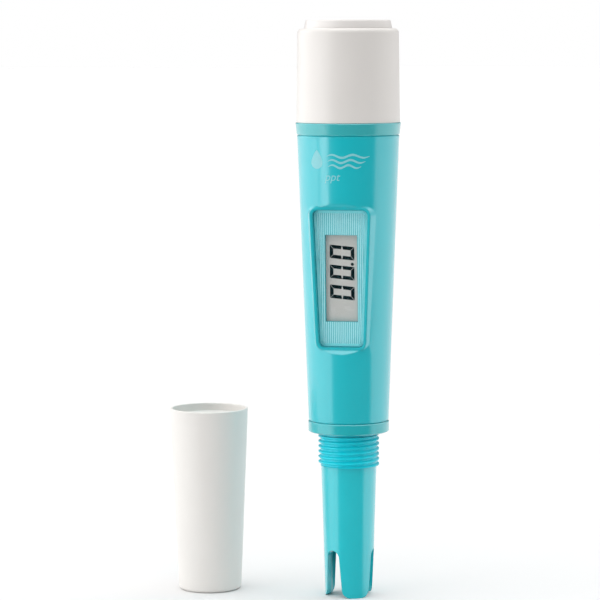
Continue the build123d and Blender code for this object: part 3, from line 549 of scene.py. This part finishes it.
def apply_modifier(piece, kind, name, **settings):
    """Add a modifier, set it and apply it."""
    activate(piece)
    modifier = piece.modifiers.new(name, kind)
    for key, value in settings.items():
        setattr(modifier, key, value)
    bpy.ops.object.modifier_apply(modifier=modifier.name)


def paint(piece, material):
    """Give every face of a piece one material."""
    piece.data.materials.clear()
    piece.data.materials.append(material)


def refinish(material, *names):
    """Put a material on CAD nodes."""
    for name in names:
        for slot in frame["nodes"][name].material_slots:
            slot.material = material


def centre(name):
    """Middle of a CAD node's box."""
    low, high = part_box(name)
    return (low + high) / 2


# ---------------------------------------------------------------- settings
class TesterDisplaySettings(bpy.types.PropertyGroup):
    lean: FloatProperty(name="Pad lean", default=radians(2.164), subtype="ANGLE", unit="ROTATION",
                        description="Lean of the display pad, which follows the tapered body")
    figure_height: FloatProperty(name="Figure height", description="Height of one figure",
                                 default=8.35 * MM, subtype="DISTANCE", unit="LENGTH")
    figure_width: FloatProperty(name="Figure width", description="Width of one figure", default=4.5 * MM,
                                subtype="DISTANCE", unit="LENGTH")
    figure_pitch: FloatProperty(name="Figure pitch", description="Distance from one figure to the next",
                                default=6.7 * MM, subtype="DISTANCE", unit="LENGTH")
    figure_shift: FloatProperty(name="Figure shift", default=1.88 * MM, subtype="DISTANCE", unit="LENGTH",
                                description="Middle figure above the display's centre")
    stroke: FloatProperty(name="Stroke", description="Width of a segment", default=1.2 * MM,
                          subtype="DISTANCE", unit="LENGTH")
    slant: FloatProperty(name="Slant", description="Forward slant of the figures", default=radians(5.4),
                         subtype="ANGLE", unit="ROTATION")
    rib_pitch: FloatProperty(name="Rib pitch", default=0.65 * MM, subtype="DISTANCE", unit="LENGTH",
                             description="Distance between the fine ribs behind the window")


class TesterMarkSettings(bpy.types.PropertyGroup):
    unit_text: StringProperty(name="Unit", description="Unit printed under the mark", default="ppt")
    unit_size: FloatProperty(name="Unit size", description="Type size of the unit", default=3.8 * MM,
                             subtype="DISTANCE", unit="LENGTH")
    wave_length: FloatProperty(name="Wave length", description="Length of the mark's top wave",
                               default=14.0 * MM, subtype="DISTANCE", unit="LENGTH")
    ink_thickness: FloatProperty(name="Ink", description="Thickness of the printed film",
                                 default=0.02 * MM, subtype="DISTANCE", unit="LENGTH")


class TesterStageSettings(bpy.types.PropertyGroup):
    camera_place: FloatVectorProperty(name="Camera", description="Where the camera stands",
                                      default=(0.17316, -0.89204, 0.186),
                                      subtype="TRANSLATION", unit="LENGTH")
    heading: FloatProperty(name="Heading", description="Camera's turn about the upright axis",
                           default=radians(12.0), subtype="ANGLE", unit="ROTATION")
    pitch: FloatProperty(name="Pitch", description="Camera's downward tilt", default=radians(5.35),
                         subtype="ANGLE", unit="ROTATION")
    lens: FloatProperty(name="Lens", description="Focal length in millimetres on a 36 mm sensor",
                        default=162.0)
    roll: FloatProperty(name="Roll", description="Camera's turn about its own line of sight",
                        default=radians(0.2), subtype="ANGLE", unit="ROTATION")
    floor_colour: StringProperty(name="Floor", description="Colour of the sweep", default="#e4e4e4")
    flag_left: FloatProperty(name="Flag left", default=radians(-35), subtype="ANGLE", unit="ROTATION",
                             description="Left edge of the floor kept out of the reflections")
    flag_right: FloatProperty(name="Flag right", default=radians(75), subtype="ANGLE", unit="ROTATION",
                              description="Right edge of the floor kept out of the reflections")
    key_strength: FloatProperty(name="Key light", description="Strength of each softbox on the left",
                                default=0.21)
    fill_strength: FloatProperty(name="Fill light", description="Strength of the softbox on the right",
                                 default=0.2)
    top_strength: FloatProperty(name="Top light", description="Strength of the overhead softbox",
                                default=0.35)


# ---------------------------------------------------------------- operators
class TESTER_OT_stage(bpy.types.Operator):
    """Set out the pale sweep, the soft lights and the camera"""
    bl_idname = "tester.stage"
    bl_label = "Studio"

    def softbox(self, name, heading, height, spread, strength):
        """A broad soft source a long way off, so that the whole sweep is lit evenly."""
        clear_selection()
        bpy.ops.object.light_add(type="SUN")
        lamp = bpy.context.active_object
        lamp.name = name
        lamp.data.angle = radians(spread)
        lamp.data.energy = strength * pi
        source = Vector((sin(radians(heading)) * cos(radians(height)),
                         -cos(radians(heading)) * cos(radians(height)), sin(radians(height))))
        lamp.rotation_euler = source.to_track_quat("Z", "Y").to_euler()

    def execute(self, context):
        settings = context.scene.tester_stage
        scene = context.scene
        scene.view_settings.view_transform = "Standard"
        scene.view_settings.look = "None"
        clear_selection()
        turn = (radians(90) - settings.pitch, settings.roll, settings.heading)
        bpy.ops.object.camera_add(location=settings.camera_place, rotation=turn)
        camera = context.active_object
        camera.data.lens = settings.lens
        camera.data.sensor_width = 36.0
        camera.data.clip_start = 0.01
        scene.camera = camera

        clear_selection()
        bpy.ops.mesh.primitive_grid_add(x_subdivisions=24, y_subdivisions=24, size=FLOOR_SIDE,
                                        location=FLOOR_MIDDLE)
        floor = context.active_object
        floor.name = "studio_floor"
        settle(floor)
        paint(floor, matt_studio_floor(settings.floor_colour))
        # The floor in front stays out of the reflections, as behind a black flag.
        flags = (settings.flag_left, settings.flag_right)
        edges = [Vector((sin(flag), -cos(flag), 0)) for flag in flags]
        across = [Vector((-edge.y, edge.x, 0)) for edge in edges]
        bpy.ops.object.mode_set(mode="EDIT")
        for normal in across:
            bpy.ops.mesh.select_all(action="SELECT")
            bpy.ops.mesh.bisect(plane_co=(0, 0, 0), plane_no=normal)
        select_faces(floor, lambda p: p.dot(across[0]) > 0 and p.dot(across[1]) < 0)
        bpy.ops.mesh.separate(type="SELECTED")
        bpy.ops.mesh.select_mode(type="VERT")
        bpy.ops.object.mode_set(mode="OBJECT")
        front = next(piece for piece in context.selected_objects if piece is not floor)
        front.name = "studio_floor_front"
        front.visible_glossy = False

        for name, heading, height, spread, strength in SOFTBOXES:
            self.softbox(name, heading, height, spread, getattr(settings, strength))

        # The room lights the tester from overhead and a little from behind; the camera sees it white.
        world = bpy.data.worlds.new("pale_studio")
        scene.world = world
        world.use_nodes = True
        tree = world.node_tree
        tree.nodes.clear()
        direction = node(tree, "ShaderNodeTexCoord").outputs["Generated"]
        parts = node(tree, "ShaderNodeSeparateXYZ", None, {"Vector": direction})
        above = node(tree, "ShaderNodeMapRange",
                     {"interpolation_type": "SMOOTHSTEP", "From Min": 0.2, "From Max": 0.7,
                      "To Min": 0.03, "To Max": 0.95}, {"Value": parts.outputs["Z"]})
        behind = node(tree, "ShaderNodeMapRange",
                      {"interpolation_type": "SMOOTHSTEP", "From Min": -0.3, "From Max": 0.7,
                       "To Min": 0.0, "To Max": 0.2}, {"Value": parts.outputs["Y"]})
        room = node(tree, "ShaderNodeMath", {"operation": "ADD"},
                    {0: above.outputs["Result"], 1: behind.outputs["Result"]})
        seen = node(tree, "ShaderNodeLightPath").outputs["Is Camera Ray"]
        strength = node(tree, "ShaderNodeMix", {"data_type": "FLOAT", 3: 1.0},
                        {0: seen, 2: room.outputs["Value"]})
        light = node(tree, "ShaderNodeBackground", {"Color": (1, 1, 1, 1)},
                     {"Strength": strength.outputs[0]})
        node(tree, "ShaderNodeOutputWorld", None, {"Surface": light.outputs["Background"]})
        return {"FINISHED"}


class TESTER_OT_shell_finishes(bpy.types.Operator):
    """Finish the body, the collars, the cover, the button and the cap"""
    bl_idname = "tester.shell_finishes"
    bl_label = "Shell finishes"

    def execute(self, context):
        refinish(moulded_teal_abs(), "body_shell")
        refinish(collar_teal_abs(), "neck_ring")
        refinish(probe_teal_abs(), "probe_housing")
        refinish(cover_white_abs(), "battery_cover")
        refinish(button_white_abs(), "power_button")
        refinish(cap_white_polypropylene(), "protective_cap")
        return {"FINISHED"}


class TESTER_OT_display_finishes(bpy.types.Operator):
    """Finish the window, its tape and the display behind it"""
    bl_idname = "tester.display_finishes"
    bl_label = "Display finishes"

    def execute(self, context):
        refinish(clear_acrylic(), "display_window")
        # The tape's pale cyan is a painted highlight round the window's edge.
        refinish(foam_tape_painted_highlight(), "window_gasket")
        refinish(polarised_lcd_glass(), "lcd_glass")
        refinish(lcd_reflector_foil(), "lcd_reflector")
        refinish(black_abs(), "lcd_holder", "battery_carrier")
        refinish(zebra_silicone(), "zebra_strips")
        return {"FINISHED"}


class TESTER_OT_electronics_finishes(bpy.types.Operator):
    """Finish the boards, the chip, the small parts and the switch"""
    bl_idname = "tester.electronics_finishes"
    bl_label = "Electronics finishes"

    def execute(self, context):
        refinish(solder_masked_board(), "circuit_board", "switch_board")
        refinish(transfer_moulded_epoxy(), "microcontroller")
        refinish(chip_resistor_ceramic(), "board_components")
        refinish(zinc_plated_steel(), "board_screws", "carrier_screws")
        refinish(switch_black_nylon(), "switch_housing")
        refinish(switch_red_acetal(), "switch_plunger")
        return {"FINISHED"}


class TESTER_OT_power_finishes(bpy.types.Operator):
    """Finish the cells, their contacts, the leads and the button's clip and spring"""
    bl_idname = "tester.power_finishes"
    bl_label = "Power finishes"

    def execute(self, context):
        refinish(nickelled_cell_can(), "button_cells")
        refinish(nickel_plated_brass(), "cell_bridge", "contact_leaves")
        refinish(drawn_spring_steel(), "button_clip", "button_spring")
        refinish(red_wire_pvc(), "battery_leads")
        refinish(blue_wire_pvc(), "probe_leads")
        return {"FINISHED"}


class TESTER_OT_probe_finishes(bpy.types.Operator):
    """Finish the seals, the potting, the electrodes and the temperature sensor"""
    bl_idname = "tester.probe_finishes"
    bl_label = "Probe finishes"

    def execute(self, context):
        refinish(greased_nitrile(), "cover_seal", "probe_seal")
        refinish(poured_epoxy(), "electrode_potting")
        refinish(coated_titanium(), "electrode_pins")
        refinish(polished_stainless_steel(), "temperature_sensor")
        return {"FINISHED"}


class TESTER_OT_return_spring(bpy.types.Operator):
    """Stand a merged copy of the return spring in its place, instead of the CAD spring"""
    bl_idname = "tester.return_spring"
    bl_label = "Return spring"

    def execute(self, context):
        spring = copy_of(frame["nodes"]["button_spring"], "return_spring")
        bpy.ops.object.parent_clear(type="CLEAR_KEEP_TRANSFORM")
        for tag in list(spring.keys()):
            del spring[tag]
        bpy.ops.object.mode_set(mode="EDIT")
        bpy.ops.mesh.select_all(action="SELECT")
        bpy.ops.mesh.remove_doubles(threshold=FINE)
        bpy.ops.object.mode_set(mode="OBJECT")
        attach(spring, "battery_cover")
        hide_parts("button_spring")
        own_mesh(spring)
        return {"FINISHED"}


class TESTER_OT_display_figures(bpy.types.Operator):
    """Model the display's segment figures on the face of the glass"""
    bl_idname = "tester.display_figures"
    bl_label = "Display figures"

    film = 0.02 * MM            # thickness of a dark segment
    gap = 0.09 * MM             # clear space round a segment
    glass_half = 0.9 * MM       # half the thickness of the display's glass
    clearance = 0.005 * MM      # between the glass and the segments
    point_radius = 0.52 * MM
    point_rim = 0.05 * MM
    point_lift = 0.7 * MM       # of the point's middle above the figures' foot
    point_step = 0.467          # of the point from the middle figure, in figure pitches

    def bar(self, name, length, stroke, first_cut, second_cut):
        """One segment lying along X: its outer edge whole, its inner edge cut back at both ends."""
        clear_selection()
        bpy.ops.mesh.primitive_plane_add(size=1.0)
        piece = bpy.context.active_object
        piece.name = name
        piece.scale = (length, stroke, 1)
        settle(piece)
        bpy.ops.object.mode_set(mode="EDIT")
        select_points(piece, lambda p: p.y < 0 and p.x < 0)
        bpy.ops.transform.translate(value=(first_cut, 0, 0))
        select_points(piece, lambda p: p.y < 0 and p.x > 0)
        bpy.ops.transform.translate(value=(-second_cut, 0, 0))
        select_points(piece, lambda p: True)
        bpy.ops.mesh.extrude_region_move(TRANSFORM_OT_translate={"value": (0, 0, self.film)})
        bpy.ops.object.mode_set(mode="OBJECT")
        return piece

    def execute(self, context):
        settings = context.scene.tester_display
        height, width, stroke = settings.figure_height, settings.figure_width, settings.stroke
        side = height / 2 - 1.6 * self.gap
        middle_cut = stroke * 0.2
        end_bar = self.bar("end_bar", width - 2 * self.gap, stroke, stroke, stroke)
        side_bar = self.bar("side_bar", side, stroke, middle_cut, stroke)
        side_twin = self.bar("side_twin", side, stroke, stroke, middle_cut)
        # Upright figure: ends across, sides up it, outer edges outwards.
        across, along = (width - stroke) / 2, (height - stroke) / 2
        quarter = height / 4
        layout = (
            (end_bar, (0, along, 0), 0),
            (end_bar, (0, -along, 0), pi),
            (side_bar, (-across, quarter, 0), pi / 2),
            (side_twin, (-across, -quarter, 0), pi / 2),
            (side_twin, (across, quarter, 0), -pi / 2),
            (side_bar, (across, -quarter, 0), -pi / 2),
        )
        bars = []
        for pattern, place, turn in layout:
            made = copy_of(pattern, "figure_bar")
            made.location = place
            made.rotation_euler = (0, 0, turn)
            settle(made)
            bars.append(made)
        figure = join("figure", bars)
        figures = []
        for step in (-1, 0, 1):
            made = copy_of(figure, "figure_copy")
            made.location = (step * settings.figure_pitch + settings.figure_shift, 0, 0)
            settle(made)
            figures.append(made)
        clear_selection()
        reach = settings.figure_shift + settings.figure_pitch * self.point_step
        foot = self.point_lift - height / 2
        bpy.ops.mesh.primitive_cylinder_add(vertices=32, radius=self.point_radius, depth=self.film,
                                            location=(reach, foot, self.film / 2))
        point = context.active_object
        bpy.ops.object.mode_set(mode="EDIT")
        select_points(point, lambda p: p.z > 0)
        bpy.ops.mesh.inset(thickness=self.point_rim, depth=0)
        bpy.ops.object.mode_set(mode="OBJECT")
        settle(point)
        for pattern in (end_bar, side_bar, side_twin, figure):
            bpy.data.objects.remove(pattern)
        piece = join("display_figures", figures + [point])
        # The slant leans each figure's top along the reading direction.
        bpy.ops.object.mode_set(mode="EDIT")
        shape = bmesh.from_edit_mesh(piece.data)
        for vertex in shape.verts:
            vertex.co.x += vertex.co.y * tan(settings.slant)
        bmesh.update_edit_mesh(piece.data)
        bpy.ops.object.mode_set(mode="OBJECT")
        # The figures read up the tester, their tops to its left.
        piece.rotation_euler = (0, 0, pi / 2)
        settle(piece)
        outwards = Vector((0, -cos(settings.lean), -sin(settings.lean)))
        piece.rotation_euler = (radians(90) + settings.lean, 0, 0)
        piece.location = centre("lcd_glass") + outwards * (self.glass_half + self.clearance)
        settle(piece)
        paint(piece, lcd_dark_segment())
        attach(piece, "tester")
        return {"FINISHED"}


class TESTER_OT_seat_ribs(bpy.types.Operator):
    """Model the fine ribs on the window's seat, round the display's opening"""
    bl_idname = "tester.seat_ribs"
    bl_label = "Seat ribs"

    rib_height = 0.15 * MM
    rib_width = 0.72            # in rib pitches
    base_cut = 0.002 * MM       # just above the rib's axis, clear of its vertices
    half_length = 21.9 * MM     # of the window
    half_bottom, half_top = 6.45 * MM, 8.3 * MM
    opening_half_width, opening_half_length = 5.5 * MM, 14.6 * MM
    window_half_thickness = 0.65 * MM
    tape = 0.2 * MM

    def rib_row(self, count, first, pitch, low, high):
        """A row of ribs from low to high, made from one rib by an array."""
        clear_selection()
        bpy.ops.mesh.primitive_cylinder_add(vertices=12, radius=0.5, depth=1.0,
                                            rotation=(radians(90), 0, 0))
        rib = bpy.context.active_object
        settle(rib)
        rib.scale = (pitch * self.rib_width, high - low, 2 * self.rib_height)
        rib.location = (first, (low + high) / 2, 0)
        settle(rib)
        bpy.ops.object.mode_set(mode="EDIT")
        bpy.ops.mesh.select_all(action="SELECT")
        bpy.ops.mesh.bisect(plane_co=(0, 0, self.base_cut), plane_no=(0, 0, 1), clear_inner=True,
                            use_fill=True, threshold=FINE)
        bpy.ops.object.mode_set(mode="OBJECT")
        apply_modifier(rib, "ARRAY", "row", count=count, use_relative_offset=False,
                       use_constant_offset=True, constant_offset_displace=(pitch, 0, 0))
        return rib

    def execute(self, context):
        settings = context.scene.tester_display
        pitch, length, opening = settings.rib_pitch, self.half_length, self.opening_half_length
        # Ribs stand on one grid centred on the window: whole ones at the sides, short ones at the ends.
        over_opening = int(self.opening_half_width / pitch)
        side_count = int((self.half_top - self.opening_half_width) / pitch) + 1
        inner = (over_opening + 1) * pitch
        middle_count = 2 * over_opening + 1
        middle_first = -over_opening * pitch
        rows = [
            self.rib_row(side_count, inner, pitch, -length, length),
            self.rib_row(side_count, -inner - (side_count - 1) * pitch, pitch, -length, length),
            self.rib_row(middle_count, middle_first, pitch, opening, length),
            self.rib_row(middle_count, middle_first, pitch, -length, -opening),
        ]
        piece = join("window_seat_ribs", rows)
        # The window narrows downwards, so both flanks are cut at its slope.
        flank = atan((self.half_top - self.half_bottom) / (2 * length))
        middle = (self.half_top + self.half_bottom) / 2
        bpy.ops.object.mode_set(mode="EDIT")
        for side in (-1, 1):
            bpy.ops.mesh.select_all(action="SELECT")
            bpy.ops.mesh.bisect(plane_co=(side * middle, 0, 0),
                                plane_no=(side * cos(flank), -sin(flank), 0),
                                clear_outer=True, use_fill=True, threshold=FINE)
        bpy.ops.object.mode_set(mode="OBJECT")
        outwards = Vector((0, -cos(settings.lean), -sin(settings.lean)))
        piece.rotation_euler = (radians(90) + settings.lean, 0, 0)
        piece.location = centre("display_window") - outwards * (self.window_half_thickness + self.tape)
        settle(piece)
        paint(piece, frosted_acrylic())
        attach(piece, "tester")
        return {"FINISHED"}


class TESTER_OT_printed_mark(bpy.types.Operator):
    """Print a droplet with waves above the display, and the unit under it"""
    bl_idname = "tester.printed_mark"
    bl_label = "Printed marks"

    drop_radius, drop_height = 2.1 * MM, 6.3 * MM
    drop_place = (-8.0 * MM, -0.6 * MM, 0)
    wave_lifts = (1.55 * MM, -0.15 * MM, -1.85 * MM)
    wave_start = 2.6 * MM       # middle of the top wave
    wave_step = 0.5 * MM        # each lower wave's shift to the left
    wave_loss = 1.6 * MM        # how much shorter each lower wave is
    wave_swing, wave_stroke = 0.5 * MM, 0.75 * MM
    mark_place = (0.3 * MM, 148.5 * MM)     # across and up the body
    unit_place = (-2.3 * MM, 143.1 * MM)
    unit_shear = 0.25
    bend_step = 0.4 * MM        # longest piece of a print before it bends round the body
    print_gap = 0.012 * MM      # from the body to the middle of the ink
    merge = 0.002 * MM

    def ribbon(self, length):
        """A flat wave: a smooth path drawn out sideways, with a tapered stroke."""
        clear_selection()
        bpy.ops.mesh.primitive_grid_add(x_subdivisions=72, y_subdivisions=2, size=1.0)
        piece = bpy.context.active_object
        piece.scale = (length, self.wave_stroke, 1)
        settle(piece)
        bpy.ops.object.mode_set(mode="EDIT")
        shape = bmesh.from_edit_mesh(piece.data)
        for vertex in shape.verts:
            turn = vertex.co.x / length
            taper = 1 - (2 * abs(turn)) ** 4 * 0.8
            vertex.co.y = vertex.co.y * taper + self.wave_swing * sin(turn * 4 * pi)
        bmesh.update_edit_mesh(piece.data)
        bpy.ops.object.mode_set(mode="OBJECT")
        return piece

    def droplet(self, radius, height):
        """A droplet: a disc whose top is drawn up to a point."""
        clear_selection()
        bpy.ops.mesh.primitive_circle_add(vertices=64, radius=radius, fill_type="NGON")
        piece = bpy.context.active_object
        bpy.ops.object.mode_set(mode="EDIT")
        shape = bmesh.from_edit_mesh(piece.data)
        for vertex in shape.verts:
            rise = vertex.co.y / radius
            if rise > 0:
                vertex.co.x *= (1 - rise) ** 0.35
                vertex.co.y = radius * rise * (height - radius) / radius
        bmesh.update_edit_mesh(piece.data)
        bpy.ops.object.mode_set(mode="OBJECT")
        return piece

    def print_on_body(self, piece, name, place, ink):
        """Cut a flat shape fine enough to bend, project it on the body and give it its thickness."""
        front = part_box("body_shell")[0].y - 10 * MM
        piece.location = (place[0], front, place[1])
        piece.rotation_euler = (radians(90), 0, 0)
        settle(piece)
        low, high = piece.bound_box[0], piece.bound_box[6]
        bpy.ops.object.mode_set(mode="EDIT")
        bpy.ops.mesh.select_all(action="SELECT")
        bpy.ops.mesh.remove_doubles(threshold=self.merge)
        cut = low[0] + self.bend_step
        while cut < high[0]:
            bpy.ops.mesh.select_all(action="SELECT")
            bpy.ops.mesh.bisect(plane_co=(cut, 0, 0), plane_no=(1, 0, 0))
            cut += self.bend_step
        bpy.ops.mesh.select_all(action="SELECT")
        bpy.ops.mesh.quads_convert_to_tris()
        bpy.ops.mesh.dissolve_degenerate(threshold=self.merge)
        bpy.ops.object.mode_set(mode="OBJECT")
        apply_modifier(piece, "SHRINKWRAP", "onto_body", target=frame["nodes"]["body_shell"],
                       wrap_method="PROJECT", use_project_x=False, use_project_y=True,
                       use_project_z=False, use_negative_direction=True,
                       use_positive_direction=True, offset=self.print_gap)
        apply_modifier(piece, "SOLIDIFY", "film", thickness=ink, offset=0)
        piece.name = name
        return piece

    def execute(self, context):
        settings = context.scene.tester_mark
        drop = self.droplet(self.drop_radius, self.drop_height)
        drop.location = self.drop_place
        parts = [drop]
        for row, lift in enumerate(self.wave_lifts):
            wave = self.ribbon(settings.wave_length - row * self.wave_loss)
            wave.location = (self.wave_start - row * self.wave_step, lift, 0)
            parts.append(wave)
        for part in parts:
            settle(part)
        mark = join("printed_mark", parts)
        self.print_on_body(mark, "printed_mark", self.mark_place, settings.ink_thickness)
        clear_selection()
        bpy.ops.object.text_add()
        words = context.active_object
        words.data.body = settings.unit_text
        words.data.size = settings.unit_size
        words.data.shear = self.unit_shear
        words.data.align_x = "CENTER"
        words.data.align_y = "CENTER"
        bpy.ops.object.convert(target="MESH")
        unit = context.active_object
        self.print_on_body(unit, "printed_unit", self.unit_place, settings.ink_thickness)
        ink = pad_printed_ink()
        for piece in (mark, unit):
            paint(piece, ink)
            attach(piece, "tester")
        return {"FINISHED"}


# ---------------------------------------------------------------- panel and registration
STEPS = (
    TESTER_OT_stage,
    TESTER_OT_shell_finishes,
    TESTER_OT_display_finishes,
    TESTER_OT_electronics_finishes,
    TESTER_OT_power_finishes,
    TESTER_OT_probe_finishes,
    TESTER_OT_return_spring,
    TESTER_OT_display_figures,
    TESTER_OT_seat_ribs,
    TESTER_OT_printed_mark,
)


class TESTER_PT_panel(bpy.types.Panel):
    """Steps and settings of the water tester"""
    bl_label = "Water Tester"
    bl_idname = "TESTER_PT_panel"
    bl_space_type = "VIEW_3D"
    bl_region_type = "UI"
    bl_category = "Water Tester"

    def draw(self, context):
        scene = context.scene
        for settings in (scene.tester_display, scene.tester_mark, scene.tester_stage):
            box = self.layout.box()
            for name in settings.__annotations__:
                box.prop(settings, name)
        for step in STEPS:
            self.layout.operator(step.bl_idname)


CLASSES = (TesterDisplaySettings, TesterMarkSettings, TesterStageSettings, *STEPS, TESTER_PT_panel)


def register():
    for entry in CLASSES:
        bpy.utils.register_class(entry)
    bpy.types.Scene.tester_display = PointerProperty(type=TesterDisplaySettings)
    bpy.types.Scene.tester_mark = PointerProperty(type=TesterMarkSettings)
    bpy.types.Scene.tester_stage = PointerProperty(type=TesterStageSettings)


def unregister():
    del bpy.types.Scene.tester_display
    del bpy.types.Scene.tester_mark
    del bpy.types.Scene.tester_stage
    for entry in reversed(CLASSES):
        bpy.utils.unregister_class(entry)


def main():
    register()
    bpy.ops.tester.stage()
    bpy.ops.tester.shell_finishes()
    bpy.ops.tester.display_finishes()
    bpy.ops.tester.electronics_finishes()
    bpy.ops.tester.power_finishes()
    bpy.ops.tester.probe_finishes()
    bpy.ops.tester.return_spring()
    bpy.ops.tester.display_figures()
    bpy.ops.tester.seat_ribs()
    bpy.ops.tester.printed_mark()


if __name__ == "__main__":
    main()
